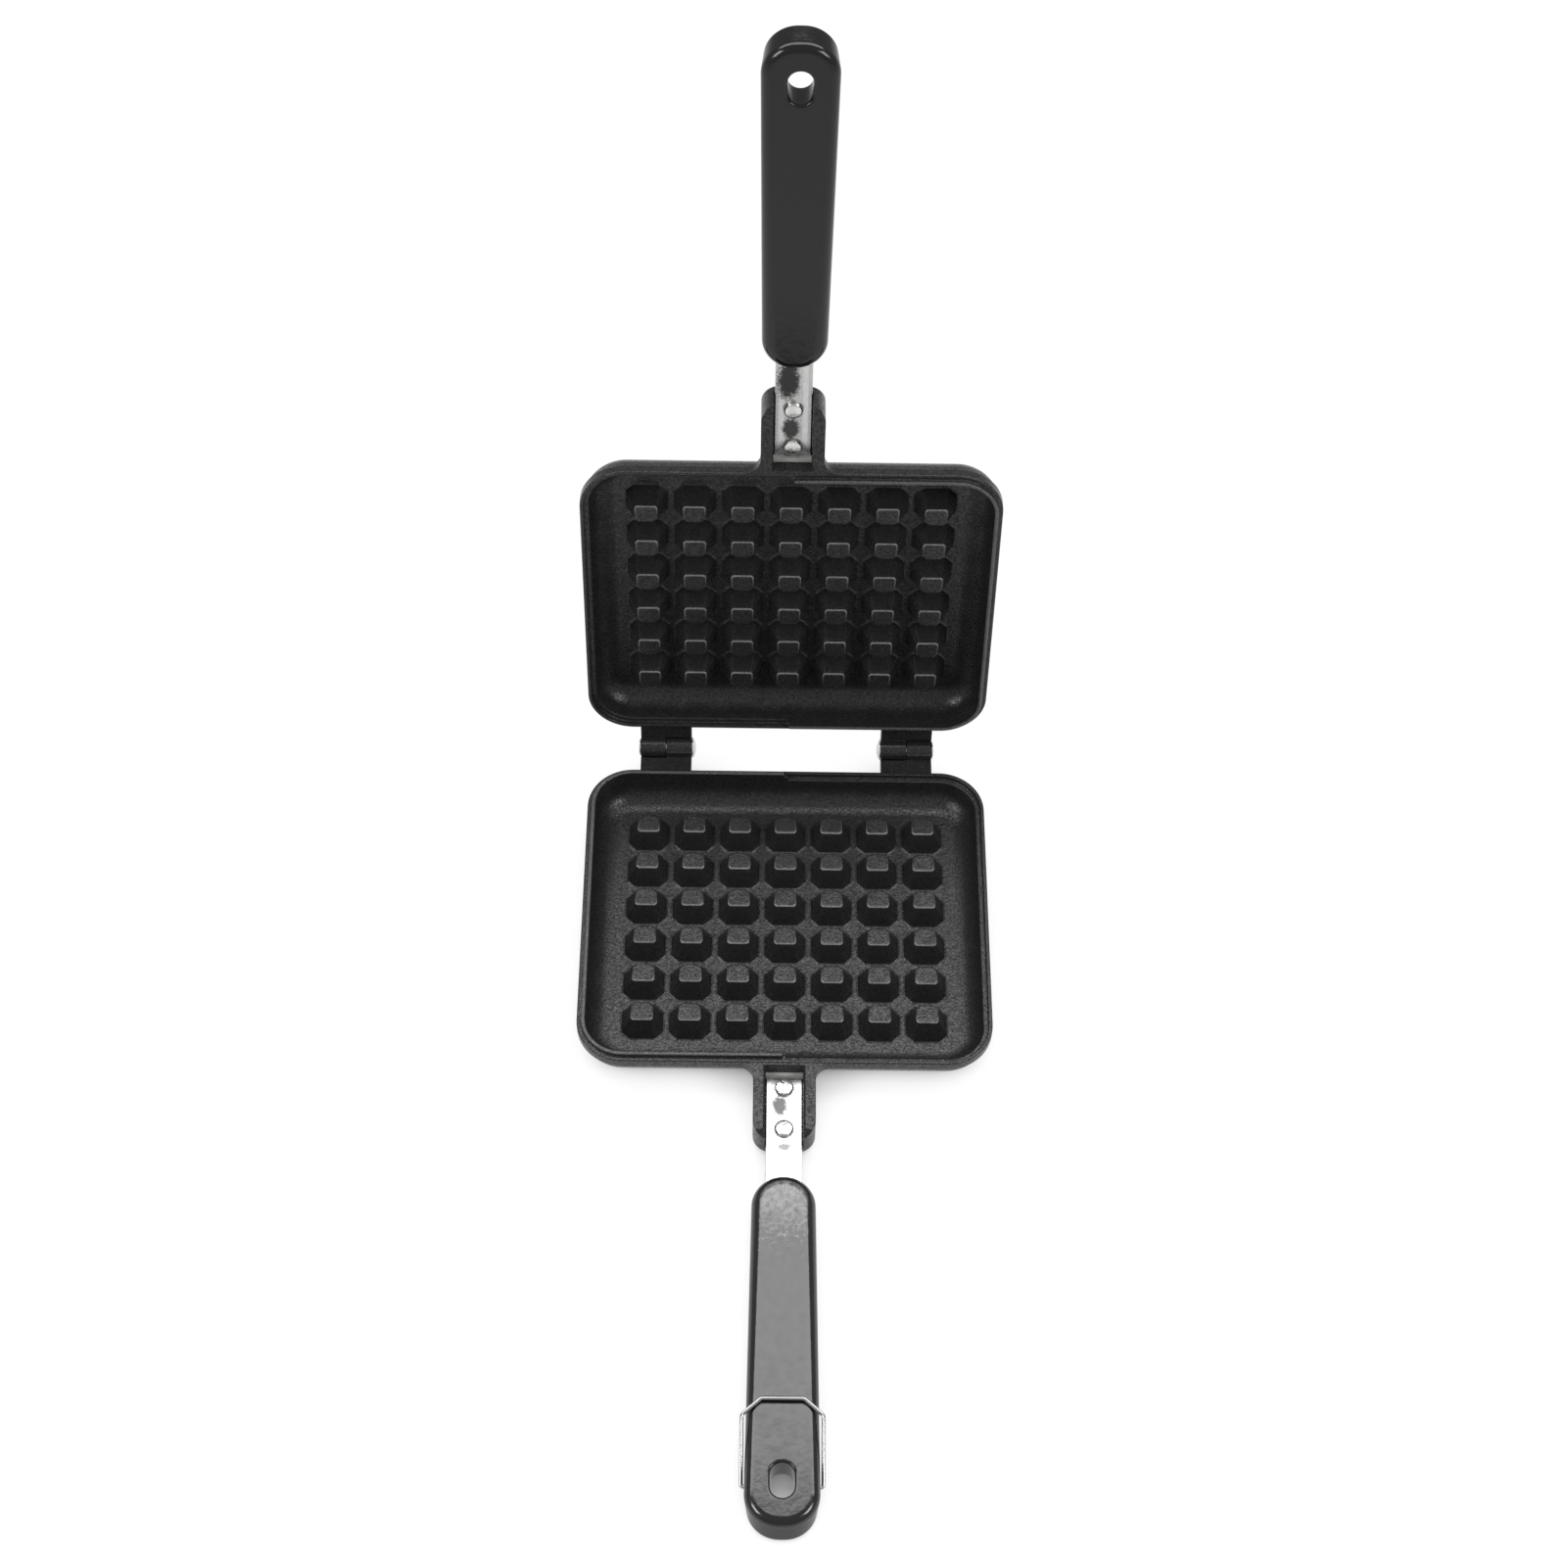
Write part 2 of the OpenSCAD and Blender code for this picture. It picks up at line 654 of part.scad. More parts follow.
module lower_plate() { lower_half() casting(); }
module upper_plate() { upper_half() casting(); }
module left_hinge_pin() { lower_half() hinge_pin(-1); }
module right_hinge_pin() { lower_half() hinge_pin(1); }
module lower_shank() { lower_half() shank(); }
module upper_shank() { upper_half() shank(); }
module lower_front_rivet() { lower_half() rivet(1); }
module lower_rear_rivet() { lower_half() rivet(0); }
module upper_front_rivet() { upper_half() rivet(1); }
module upper_rear_rivet() { upper_half() rivet(0); }
module lower_handle() { lower_half() handle(true); }
module upper_handle() { upper_half() handle(false); }
module latch_bail() { lower_half() latch_wire(); }

lower_plate();
upper_plate();
left_hinge_pin();
right_hinge_pin();
lower_shank();
upper_shank();
lower_front_rivet();
lower_rear_rivet();
upper_front_rivet();
upper_rear_rivet();
lower_handle();
upper_handle();
latch_bail();
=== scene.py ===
"""Looks of a hinged two-sided waffle pan: cast plates, steel shanks, moulded handles and a wire latch.

Shapes are made in millimetres in the frame of one half, with the hinge axis along X at the origin, the
parting face at z = 0 and the handle towards -Y, and are then put in place for the lower and upper half.
"""

import math

import bmesh
import bpy
import numpy as np
from mathutils import Matrix, Vector
from mathutils.geometry import tessellate_polygon


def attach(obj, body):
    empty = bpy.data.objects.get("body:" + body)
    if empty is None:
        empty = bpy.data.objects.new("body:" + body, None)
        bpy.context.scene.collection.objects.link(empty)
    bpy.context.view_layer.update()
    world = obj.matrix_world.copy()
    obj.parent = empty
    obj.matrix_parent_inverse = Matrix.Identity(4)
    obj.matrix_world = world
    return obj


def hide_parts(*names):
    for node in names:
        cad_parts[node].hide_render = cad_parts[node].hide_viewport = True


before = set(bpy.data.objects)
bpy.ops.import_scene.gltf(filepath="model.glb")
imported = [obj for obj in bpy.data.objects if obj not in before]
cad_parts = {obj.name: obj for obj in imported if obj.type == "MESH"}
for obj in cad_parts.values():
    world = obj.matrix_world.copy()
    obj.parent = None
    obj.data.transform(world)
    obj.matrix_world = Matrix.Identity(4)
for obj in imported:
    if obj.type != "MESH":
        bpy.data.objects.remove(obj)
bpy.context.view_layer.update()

# sizes, in millimetres and degrees; u is a distance from the hinge axis and z a height over the parting face

MM = 0.001
PLATE_W = 160.0
PLATE_L = 135.6
SETBACK = 11.2  # hinge axis to the plate's edge
CORNER_R = 18.0
PLATE_FAR = SETBACK + PLATE_L
PLATE_MID = SETBACK + PLATE_L / 2
CAVITY = 13.2
FLOOR_T = 2.8
UNDERSIDE = CAVITY + FLOOR_T
RIM_W = 3.2
BAND_TOP = -0.1  # the rims stop this far short of the parting face
BAND_H = 4.2
BAND_STEP = 1.3
BAND_FOOT = -5.4
BAND_TURN = (0.95, -4.65)  # inset and z where the band's lower edge turns in
COVE_R = 8.5
COVE_INSET = 12.2
OUTER_COVE_R = 11.3
OUTER_COVE_INSET = 12.6
OUTER_COVE_Z = -4.7
COVE_RUN = 0.5  # flat strip beyond each cove
BEAD_H = 1.8
BEAD_W = 1.4
BEAD_CLEAR = 0.3
BEAD_END = 0.8  # from the plate's middle line
GROOVE_EDGE = RIM_W - BEAD_W - BEAD_CLEAR
RIM_RADII = [0.4, 0.35, 0.3, 0.45, 0.45, 0.35]  # at the corners of the rim's section, from inside to outside
BEAD_FOOT_R = 0.25

STUD_COLS = 7
STUD_ROWS = 6
STUD_PX = 18.4
STUD_PY = 17.5
STUD_H = 8.8
STUD_SHIFT = 0.6
STUD_FOOT = (8.05, 7.6)  # half sizes at the floor
STUD_SLOPE_W = 3.83  # how far the sides come in up to the flat top
STUD_DRAFT = (1.005, 0.992)  # how much each half size shrinks for a millimetre of inset
STUD_RADII = (0.55, 0.75)  # roundings at foot and top edge
STUD_SINK = 0.8  # how far a stud reaches into the floor
BACK_CHAMFER = (3.9, 1.5)  # corner cuts on the hinge side, at foot and top
FRONT_CHAMFER = (3.0, 0.7)
BACK_FADE = 0.45  # how fast the corner cuts shrink on the flat top
FRONT_FADE = 0.15
BACK_SOFT = 0.9  # radii that soften those corners
FRONT_SOFT = 1.2

OPEN_ANGLE = 98.6
HINGE_X = 49.0
HINGE_W = 20.6
KNUCKLE_R = 4.2
KNUCKLE_GAP = 0.3
KNUCKLE_SIDES = 40
NECK_R = 8.2
NECK_TOP = -1.2
POCKET_R = 4.6  # room for the other plate's knuckle
STOP_ANGLE = 180 + OPEN_ANGLE / 2 + 0.4
ROOT_STEP = -3.0  # below this the roots of the arms reach deeper into the rim
DEEP_ROOT = RIM_W - 0.4  # how deep they reach there
HIGH_ROOT = GROOVE_EDGE - 0.1  # how deep the arms reach above it, and the lug all over, short of the rebate
CAST_R = 0.4  # rounding of the arms' edges
LUG_R = 0.35

LUG_W = 23.8
LUG_L = 31.6
LUG_DROP = 0.3
LUG_BOTTOM = -12.9
LUG_FLOOR = -10.1
LUG_CORNER_R = 7.0
LUG_FILLET_R = 6.2
LUG_END = PLATE_FAR + LUG_L
SLOPE_L = 3.2
SLOPE_H = 3.0
RAIL_BEVEL = 0.8
RECESS_WALL = PLATE_FAR + 1.0
LEDGE_L = 1.5
LEDGE_TOP = -5.8
CHANNEL_W = 14.4

SHANK_W = 13.8
SHANK_T = 2.2
SHANK_TOP = -7.9
SHANK_START = PLATE_FAR + 2.7
PRESSING = (5.3, 3.5, 0.4)  # half widths of the pressed hollow at its edge and floor, and its depth
PRESSING_R = 2.5
RIVETS_U = (PLATE_FAR + 6.6, PLATE_FAR + 24.2)
RIVET_SEAT = -8.3
RIVET_R = 3.65
RIVET_H = 1.7
RIVET_STEM_R = 2.0
RIVET_TAIL = (3.2, 1.2, 0.3)  # radius, height and skirt of a domed end
PIN_R = 2.0
PIN_HEAD = (4.2, 1.7, 0.45)
PIN_TAIL = (3.5, 0.9, 0.3)
PIN_CLEAR = 0.15  # between a pin's ends and the hinge arm
SINK = 0.02  # a stem stops this far under its head

HANDLE_NEAR = LUG_END + 13.2
HANDLE_L = 138.1
HANDLE_T = 11.4
HANDLE_MID = -9.4
HANDLE_FAR = HANDLE_NEAR + HANDLE_L
HALF_T = HANDLE_T / 2 - 0.03
# each end's plan radius, half its straight stretch and its edge rounding; the far end differs by face
NEAR_R = 11.9
NEAR_X = 0.1
NEAR_EDGE = 4.7
FRONT_R = 12.5
FRONT_X = 0.95
FRONT_EDGE = 3.3
FRONT_REACH = HANDLE_FAR - 1.7
BACK_R = 11.7
BACK_X = 0.95
BACK_EDGE = 2.5
BACK_REACH = HANDLE_FAR - 0.03
FLAT_EDGE = 1.08  # the flat faces begin a little inside the edge rounding
SLOT_U = HANDLE_FAR - 18.4
SLOT_W = 8.8
SLOT_L = 12.9
# the rounded lip of the hole, as (outward from its wall, down from the face)
SLOT_LIP = [(1.2, 0.0), (0.9, 0.0), (0.55, 0.08), (0.26, 0.26), (0.08, 0.55), (0.0, 0.9)]

LATCH_U = HANDLE_FAR - 17.7
LATCH_REACH = 31.1
WIRE_R = 0.75
WIRE_SIDES = 20
LEG_X = 14.55
PIVOT_X = 8.9
LATCH_BAR_W = 15.2
LATCH_CORNER_L = 5.9
LATCH_GAP = 0.65
LATCH_BEND = 2.0
PIVOT_BEND = 1.1
PIVOT_HOLD = 0.3  # how far the ends go on past the pivot width
LATCH_ANGLE = math.degrees(math.asin((WIRE_R + LATCH_GAP + HANDLE_T / 2) / LATCH_REACH))

EDGE_ANGLE = 28  # cast edges sharper than this are rounded
EDGE_STEPS = 3
SMOOTH_ANGLE = 32  # edges sharper than this stay crisp in the shading
TURN_STEPS = 48

# colours

COATING_DARK = (0.010, 0.010, 0.0102)
COATING_LIGHT = (0.021, 0.021, 0.0214)
# painted highlight for the stud edges and the bead's top
EDGE_HIGHLIGHT_PAINT = (0.2, 0.2, 0.2)
BARE_CASTING = (0.42, 0.42, 0.41)
PLASTIC = (0.007, 0.007, 0.0074)
# painted sheen on the face of the lower handle's near end
PAINTED_SHEEN = (0.2, 0.2, 0.196)
SHANK_STEEL = (0.62, 0.62, 0.615)
RIVET_METAL = (0.80, 0.80, 0.79)
PIN_STEEL = (0.80, 0.80, 0.80)
WIRE_STEEL = (0.58, 0.58, 0.58)
# painted dark reflections on the shanks
REFLECTION_DARK = (0.035, 0.034, 0.033)
PAPER = (0.8, 0.8, 0.8)

# surface grain, with scales per millimetre and bump depths in metres

GRAIN_SCALE = 1.25
PEBBLE_SCALE = 0.3
GLINT_SCALE = 0.8
GLINT_SHARE = 0.10  # of all cells
GRAIN_HEIGHT = 0.6
PEBBLE_HEIGHT = 0.22
GRAIN_DEPTH = 0.00025
SOFT_EDGE = 0.0006
COATING_ROUGH = (0.34, 0.22)  # on dark and on light grain
COATING_GLOSS = (0.2, 0.58)
GLINT_ROUGH = 0.12  # how much smoother the glossy spots are
PLASTIC_ROUGH = (0.11, 0.2)
PLASTIC_DEPTH = 0.00015
METAL_DEPTH = 0.00003
RIVET_DEPTH = 0.00028

# painted highlights, sheen and dark reflections, and the bare ledge, in millimetres

CREST_BAND = (0.42, 0.04)  # the band under the studs' tops that gets a painted highlight, from and to
BEAD_BAND = 0.22  # height at the top of the bead that gets a painted highlight
BEAD_HIGHLIGHT_SHARE = 0.35  # strength of the bead's painted highlight as a share of the studs'
LEDGE_HALF_W = 7.1
SHEEN_ENDS = (-232, -200)  # y where the painted sheen has faded out and where it is strongest
FACE_BAND = (0.5, 0.1)  # depths under the handle's face where the painted sheen begins and is full
# each painted dark reflection as (x, u, half width, half length, darkness)
PAINTED_REFLECTIONS = {"lower": [(-1.7, 160.8, 2.9, 4.6, 0.75), (0.2, 178.5, 2.6, 1.6, 0.45)],
          "upper": [(2.0, 184.5, 4.4, 9.5, 0.95), (0.8, 162.0, 3.4, 5.2, 0.9)]}

# stage, in metres, and the camera fitted to the photo, in pixels, radians and millimetres

FLOOR_HALF = 6
FLOOR_GLOW = 1.02
CONTACT_REACH = 0.03  # how near the object the floor shows its shadow
OPEN_RANGE = (0.05, 0.62)  # openness of the floor, from deep shadow to none
OPEN_GLOW = 0.96
MIRRORED_GLOW = 0.5
WORLD_LIGHT = 0.42
WORLD_SEEN = 1.02
FOCAL_PX = 2987.25
PHOTO_PX = 1601
SENSOR_MM = 36.0
CAMERA_X, CAMERA_Y, CAMERA_Z = -11.774, -695.933, 974.439  # from the hinge axis
ROLL, YAW, PITCH = -0.01207, 0.00923, -0.60804

HINGE = Matrix.Translation(Vector((0, PLATE_MID, UNDERSIDE)) * MM)
TO_LOWER = HINGE @ Matrix.Scale(MM, 4)
TO_UPPER = (HINGE @ Matrix.Rotation(math.radians(-OPEN_ANGLE), 4, "X")
            @ Matrix.Rotation(math.pi, 4, "Y") @ Matrix.Scale(MM, 4))
PLACES = {"lower": TO_LOWER, "upper": TO_UPPER}


# mesh helpers

def make_bmesh(verts, faces):
    """A bmesh with its doubles merged and its faces turned outwards."""
    bm = bmesh.new()
    made = [bm.verts.new(v) for v in verts]
    for f in faces:
        bm.faces.new([made[i] for i in f])
    bmesh.ops.remove_doubles(bm, verts=bm.verts, dist=1e-4)
    bmesh.ops.recalc_face_normals(bm, faces=bm.faces)
    return bm


def to_mesh(bm, name):
    """A mesh from a bmesh, which is freed."""
    mesh = bpy.data.meshes.new(name)
    bm.to_mesh(mesh)
    bm.free()
    return mesh


def loft(rings, closed_ring=True, caps=True, cyclic=False):
    """Verts and faces through rings of equal length, with caps on both ends or joined up in a loop."""
    n = len(rings[0])
    verts = [p for ring in rings for p in ring]
    faces = []
    count = len(rings)
    for i in range(count if cyclic else count - 1):
        j = (i + 1) % count
        for k in range(n if closed_ring else n - 1):
            m = (k + 1) % n
            faces.append((i * n + k, i * n + m, j * n + m, j * n + k))
    if caps:
        faces.append(tuple(range(n)))
        faces.append(tuple((count - 1) * n + k for k in range(n)))
    return verts, faces


def arc(cx, cy, r, a0, a1, steps):
    """Points of a circular arc between two angles in degrees."""
    return [(cx + r * math.cos(math.radians(a0 + (a1 - a0) * i / steps)),
             cy + r * math.sin(math.radians(a0 + (a1 - a0) * i / steps))) for i in range(steps + 1)]


def rounded_line(points, radii, steps, closed=False):
    """A polyline with each inner corner rounded by its radius; every corner gives steps + 1 points."""
    out = []
    count = len(points)
    span = range(count) if closed else range(1, count - 1)
    if not closed:
        out.append(points[0])
    for i in span:
        p = Vector(points[i])
        a = (Vector(points[i - 1]) - p).normalized()
        b = (Vector(points[(i + 1) % count]) - p).normalized()
        r = radii[i if closed else i - 1]
        turn = math.pi - a.angle(b, 0)
        if turn < 0.02:
            for k in range(steps + 1):
                out.append(tuple(p + (b - a) * 0.5 * (k / steps - 0.5) * 0.2))
            continue
        trim = r * math.tan(turn / 2)
        centre = p + (a + b).normalized() * (r / math.cos(turn / 2))
        start, end = p + a * trim - centre, p + b * trim - centre
        a0 = math.atan2(start.y, start.x)
        sweep = (math.atan2(end.y, end.x) - a0 + math.pi) % (2 * math.pi) - math.pi
        for k in range(steps + 1):
            ang = a0 + sweep * k / steps
            out.append((centre.x + r * math.cos(ang), centre.y + r * math.sin(ang)))
    if not closed:
        out.append(points[-1])
    return out


def prism(section, x0, x1):
    """A block along X from a section given in (distance from the axis, height)."""
    return loft([[(x, -u, n) for u, n in section] for x in (x0, x1)])


def slab(plan, z0, z1):
    """A block upright from a plan given in (x, distance from the axis)."""
    return loft([[(x, -u, z) for x, u in plan] for z in (z0, z1)])


def linked(name, data):
    """A new object in the scene."""
    obj = bpy.data.objects.new(name, data)
    bpy.context.scene.collection.objects.link(obj)
    return obj


def scratch_object(verts_faces):
    """A closed block for carve, which doesn't stay in the scene."""
    return linked("scratch", to_mesh(make_bmesh(*verts_faces), "scratch"))


def baked(obj):
    """The object's mesh with its modifiers applied; the object itself goes."""
    graph = bpy.context.evaluated_depsgraph_get()
    graph.update()
    mesh = bpy.data.meshes.new_from_object(obj.evaluated_get(graph))
    bpy.data.objects.remove(obj)
    return mesh


def carve(base, joined, cut, radius):
    """Adds and cuts closed blocks, then rounds the sharp edges."""
    others = []
    for operation, blocks in (("UNION", joined), ("DIFFERENCE", cut)):
        for block in blocks:
            other = scratch_object(block)
            others.append(other)
            step = base.modifiers.new("step", "BOOLEAN")
            step.operation = operation
            step.object = other
            step.solver = "EXACT"
    weld = base.modifiers.new("weld", "WELD")
    weld.merge_threshold = 0.001
    edge = base.modifiers.new("edge", "BEVEL")
    edge.width = radius
    edge.segments = EDGE_STEPS
    edge.limit_method = "ANGLE"
    edge.angle_limit = math.radians(EDGE_ANGLE)
    edge.use_clamp_overlap = True
    mesh = baked(base)
    for other in others:
        bpy.data.objects.remove(other)
    return mesh


def merged(meshes, name):
    """One mesh that holds all the closed shells."""
    bm = bmesh.new()
    for mesh in meshes:
        bm.from_mesh(mesh)
    return to_mesh(bm, name)


def add_piece(name, mesh, place, body, material, replaces):
    """One finished piece; an attribute keeps its place in its half's own frame for the materials."""
    mesh = mesh.copy()
    mesh.name = name
    local = np.zeros(len(mesh.vertices) * 3, np.float32)
    mesh.vertices.foreach_get("co", local)
    attribute = mesh.attributes.new("half_mm", "FLOAT_VECTOR", "POINT")
    attribute.data.foreach_set("vector", local)
    mesh.transform(place)
    mesh.materials.clear()
    mesh.materials.append(material)
    mesh.shade_smooth()
    mesh.set_sharp_from_angle(angle=math.radians(SMOOTH_ANGLE))
    shaped = linked(name + "_shape", mesh)
    shaped.modifiers.new("flat", "WEIGHTED_NORMAL").keep_sharp = True
    mesh = baked(shaped)
    mesh.name = name
    obj = linked(name, mesh)
    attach(obj, body)
    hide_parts(*replaces)


# cast plates

def rim_profile(kind):
    """The tray wall's section from the floor's edge over the rim to the underside, in (inset, height)."""
    inner_cove = [(COVE_INSET + COVE_RUN, -CAVITY)] + arc(COVE_INSET, COVE_R - CAVITY, COVE_R, 270, 180, 10)
    if kind == "bead":
        top = [(RIM_W, BEAD_H), (RIM_W - BEAD_W, BEAD_H), (RIM_W - BEAD_W, BAND_TOP)]
    elif kind == "groove":
        depth = -BEAD_H - BEAD_CLEAR
        top = [(RIM_W + 0.2, depth), (GROOVE_EDGE, depth), (GROOVE_EDGE, BAND_TOP)]
    else:
        top = [(RIM_W + 0.05, BAND_TOP), (2.4, BAND_TOP), (1.6, BAND_TOP)]
    line = [inner_cove[-1]] + top + [(0, BAND_TOP), (0, -BAND_H), BAND_TURN, (BAND_STEP, BAND_FOOT)]
    radii = list(RIM_RADII)
    if kind == "bead":
        radii[2] = BEAD_FOOT_R
    middle = rounded_line(line, radii, 4)
    outer_cove = arc(OUTER_COVE_INSET, OUTER_COVE_Z, OUTER_COVE_R, 184, 270, 10)
    outer_cove.append((OUTER_COVE_INSET + COVE_RUN, -UNDERSIDE))
    return inner_cove[:-1] + middle[:-1] + outer_cove


def tray():
    """Floor and wall of a plate, swept round, with the bead on the left half and the rebate on the right."""
    hair = 0.001  # keeps the width just inside the CAD's
    hx = PLATE_W / 2 - CORNER_R - hair
    hy = PLATE_L / 2 - CORNER_R
    profiles = {k: rim_profile(k) for k in ("bead", "groove", "plain")}
    steps = [(x, "bead") for x in (-hx, -40, -20, -BEAD_END - 0.12)]
    steps += [(x, "plain") for x in (-BEAD_END + 0.06, BEAD_END - 0.36)]
    steps += [(x, "groove") for x in (BEAD_END - 0.18, 20, 40, hx)]
    rings = []

    def ring(bx, by, ang, kind):
        """One section of the wall, standing on a corner's centre and facing the given way."""
        dx, dy = math.cos(math.radians(ang)), math.sin(math.radians(ang))
        rings.append([(bx + (CORNER_R - i) * dx, by - PLATE_MID + (CORNER_R - i) * dy, n)
                      for i, n in profiles[kind]])

    def corner(cx, cy, a0, kind):
        """The sections of a quarter turn, without its two ends."""
        for k in range(1, 16):
            ring(cx, cy, a0 + 90 * k / 16, kind)

    for y in (-hy, -hy / 3, hy / 3, hy):
        ring(hx, y, 0, "groove")
    corner(hx, hy, 0, "groove")
    for x, kind in reversed(steps):
        ring(x, hy, 90, kind)
    corner(-hx, hy, 90, "bead")
    for y in (hy, hy / 3, -hy / 3, -hy):
        ring(-hx, y, 180, "bead")
    corner(-hx, -hy, 180, "bead")
    for x, kind in steps:
        ring(x, -hy, 270, kind)
    corner(hx, -hy, 270, "groove")
    n = len(rings[0])
    verts, faces = loft(rings, closed_ring=False, caps=False, cyclic=True)
    faces.append(tuple(i * n for i in range(len(rings))))
    faces.append(tuple(i * n + n - 1 for i in range(len(rings))))
    return to_mesh(make_bmesh(verts, faces), "tray")


def stud_outline(w, sink):
    """One level of a stud, w millimetres in from its foot: an octagon with softened corners."""
    share = min(max(w / STUD_SLOPE_W, 0), 1)
    past = max(w - STUD_SLOPE_W, 0)
    hx = STUD_FOOT[0] - STUD_DRAFT[0] * w
    hy = STUD_FOOT[1] - STUD_DRAFT[1] * w
    back = BACK_CHAMFER[0] + (BACK_CHAMFER[1] - BACK_CHAMFER[0]) * share - BACK_FADE * past
    front = FRONT_CHAMFER[0] + (FRONT_CHAMFER[1] - FRONT_CHAMFER[0]) * share - FRONT_FADE * past
    points = [(hx, -hy + front), (hx, hy - back), (hx - back, hy), (back - hx, hy),
              (-hx, hy - back), (-hx, -hy + front), (front - hx, -hy), (hx - front, -hy)]
    soft = [FRONT_SOFT] + [BACK_SOFT] * 4 + [FRONT_SOFT] * 3
    shrink = max(0.25, 1 - 0.6 * share - 0.2 * past)
    line = rounded_line(points, [r * shrink for r in soft], 3, closed=True)
    return [(x, y, sink) for x, y in line]


def stud():
    """One stud as stacked outlines that follow its side's profile, in (inset, height)."""
    side = [(-1.5, 0), (0, 0), (STUD_SLOPE_W, STUD_H), (6.2, STUD_H)]
    level = rounded_line(side, STUD_RADII, 6)[1:-1]
    last = level[-1][0]
    path = [(level[0][0], -STUD_SINK)] + level + [(last + 0.3, STUD_H), (last + 0.8, STUD_H)]
    rings = [stud_outline(w, h - CAVITY) for w, h in path]
    return to_mesh(make_bmesh(*loft(rings)), "stud")


def stud_field(material):
    """All studs of one plate, copied over a grid by a Geometry Nodes group."""
    source = linked("stud_source", stud())
    group = bpy.data.node_groups.new("Stud grid", "GeometryNodeTree")
    group.interface.new_socket(name="Geometry", in_out="OUTPUT", socket_type="NodeSocketGeometry")
    wanted = [("Geometry", "NodeSocketGeometry"), ("Stud", "NodeSocketObject"),
              ("Columns", "NodeSocketInt"), ("Rows", "NodeSocketInt"),
              ("Pitch across", "NodeSocketFloat"), ("Pitch along", "NodeSocketFloat"),
              ("Middle", "NodeSocketVector"), ("Material", "NodeSocketMaterial")]
    sockets = {n: group.interface.new_socket(name=n, in_out="INPUT", socket_type=t) for n, t in wanted}
    new, link = group.nodes.new, group.links.new
    given, out = new("NodeGroupInput"), new("NodeGroupOutput")

    def spread(count, pitch):
        """Length of the grid: the pitch times one less than the count."""
        less, times = new("ShaderNodeMath"), new("ShaderNodeMath")
        less.operation, times.operation = "SUBTRACT", "MULTIPLY"
        less.inputs[1].default_value = 1
        link(given.outputs[count], less.inputs[0])
        link(less.outputs[0], times.inputs[0])
        link(given.outputs[pitch], times.inputs[1])
        return times.outputs[0]

    grid = new("GeometryNodeMeshGrid")
    info = new("GeometryNodeObjectInfo")
    place = new("GeometryNodeInstanceOnPoints")
    shift = new("GeometryNodeSetPosition")
    real = new("GeometryNodeRealizeInstances")
    paint = new("GeometryNodeSetMaterial")
    link(spread("Columns", "Pitch across"), grid.inputs["Size X"])
    link(spread("Rows", "Pitch along"), grid.inputs["Size Y"])
    link(given.outputs["Columns"], grid.inputs["Vertices X"])
    link(given.outputs["Rows"], grid.inputs["Vertices Y"])
    link(grid.outputs["Mesh"], shift.inputs["Geometry"])
    link(given.outputs["Middle"], shift.inputs["Offset"])
    link(given.outputs["Stud"], info.inputs["Object"])
    link(shift.outputs["Geometry"], place.inputs["Points"])
    link(info.outputs["Geometry"], place.inputs["Instance"])
    link(place.outputs["Instances"], real.inputs["Geometry"])
    link(real.outputs["Geometry"], paint.inputs["Geometry"])
    link(given.outputs["Material"], paint.inputs["Material"])
    link(paint.outputs["Geometry"], out.inputs["Geometry"])

    field = linked("stud_field", bpy.data.meshes.new("stud_field"))
    modifier = field.modifiers.new("grid", "NODES")
    modifier.node_group = group
    values = {"Stud": source, "Columns": STUD_COLS, "Rows": STUD_ROWS,
              "Pitch across": STUD_PX, "Pitch along": STUD_PY,
              "Middle": (0.0, STUD_SHIFT - PLATE_MID, 0.0), "Material": material}
    for key, value in values.items():
        modifier[sockets[key].identifier] = value
    mesh = baked(field)
    bpy.data.objects.remove(source)
    return mesh


def neck_outline():
    """Section of a hinge neck with its heel, in (distance from the axis, height)."""
    root = SETBACK + DEEP_ROOT
    top_root = SETBACK + HIGH_ROOT
    heel = arc(0, 0, NECK_R, STOP_ANGLE, 270, 10)
    return ([(top_root, NECK_TOP), (0.6, NECK_TOP), (0.0, NECK_TOP)] + heel
            + [(root, -NECK_R), (root, ROOT_STEP), (top_root, ROOT_STEP)])


def hinge_arm(middle):
    """Neck with its knuckle on one half of the width and a pocket on the other half."""
    x0, x1 = middle - HINGE_W / 2, middle + HINGE_W / 2
    split = middle + KNUCKLE_GAP / 2
    disc = arc(0, 0, KNUCKLE_R, 0, 360, KNUCKLE_SIDES)[:-1]
    pocket = arc(0, 0, POCKET_R, 0, 360, KNUCKLE_SIDES)[:-1]
    stop = math.radians(STOP_ANGLE)
    far = 3 * NECK_R
    # all that lies past the stop face, on the pocket's half
    beyond = [(0, 0), (far * math.cos(stop), far * math.sin(stop)), (-far, far), (0, far)]
    base = scratch_object(prism(neck_outline(), x0, x1))
    return carve(base, joined=[prism(disc, split, x1)],
                 cut=[prism(pocket, x0 - 1, split), prism(beyond, x0 - 1, split)], radius=CAST_R)


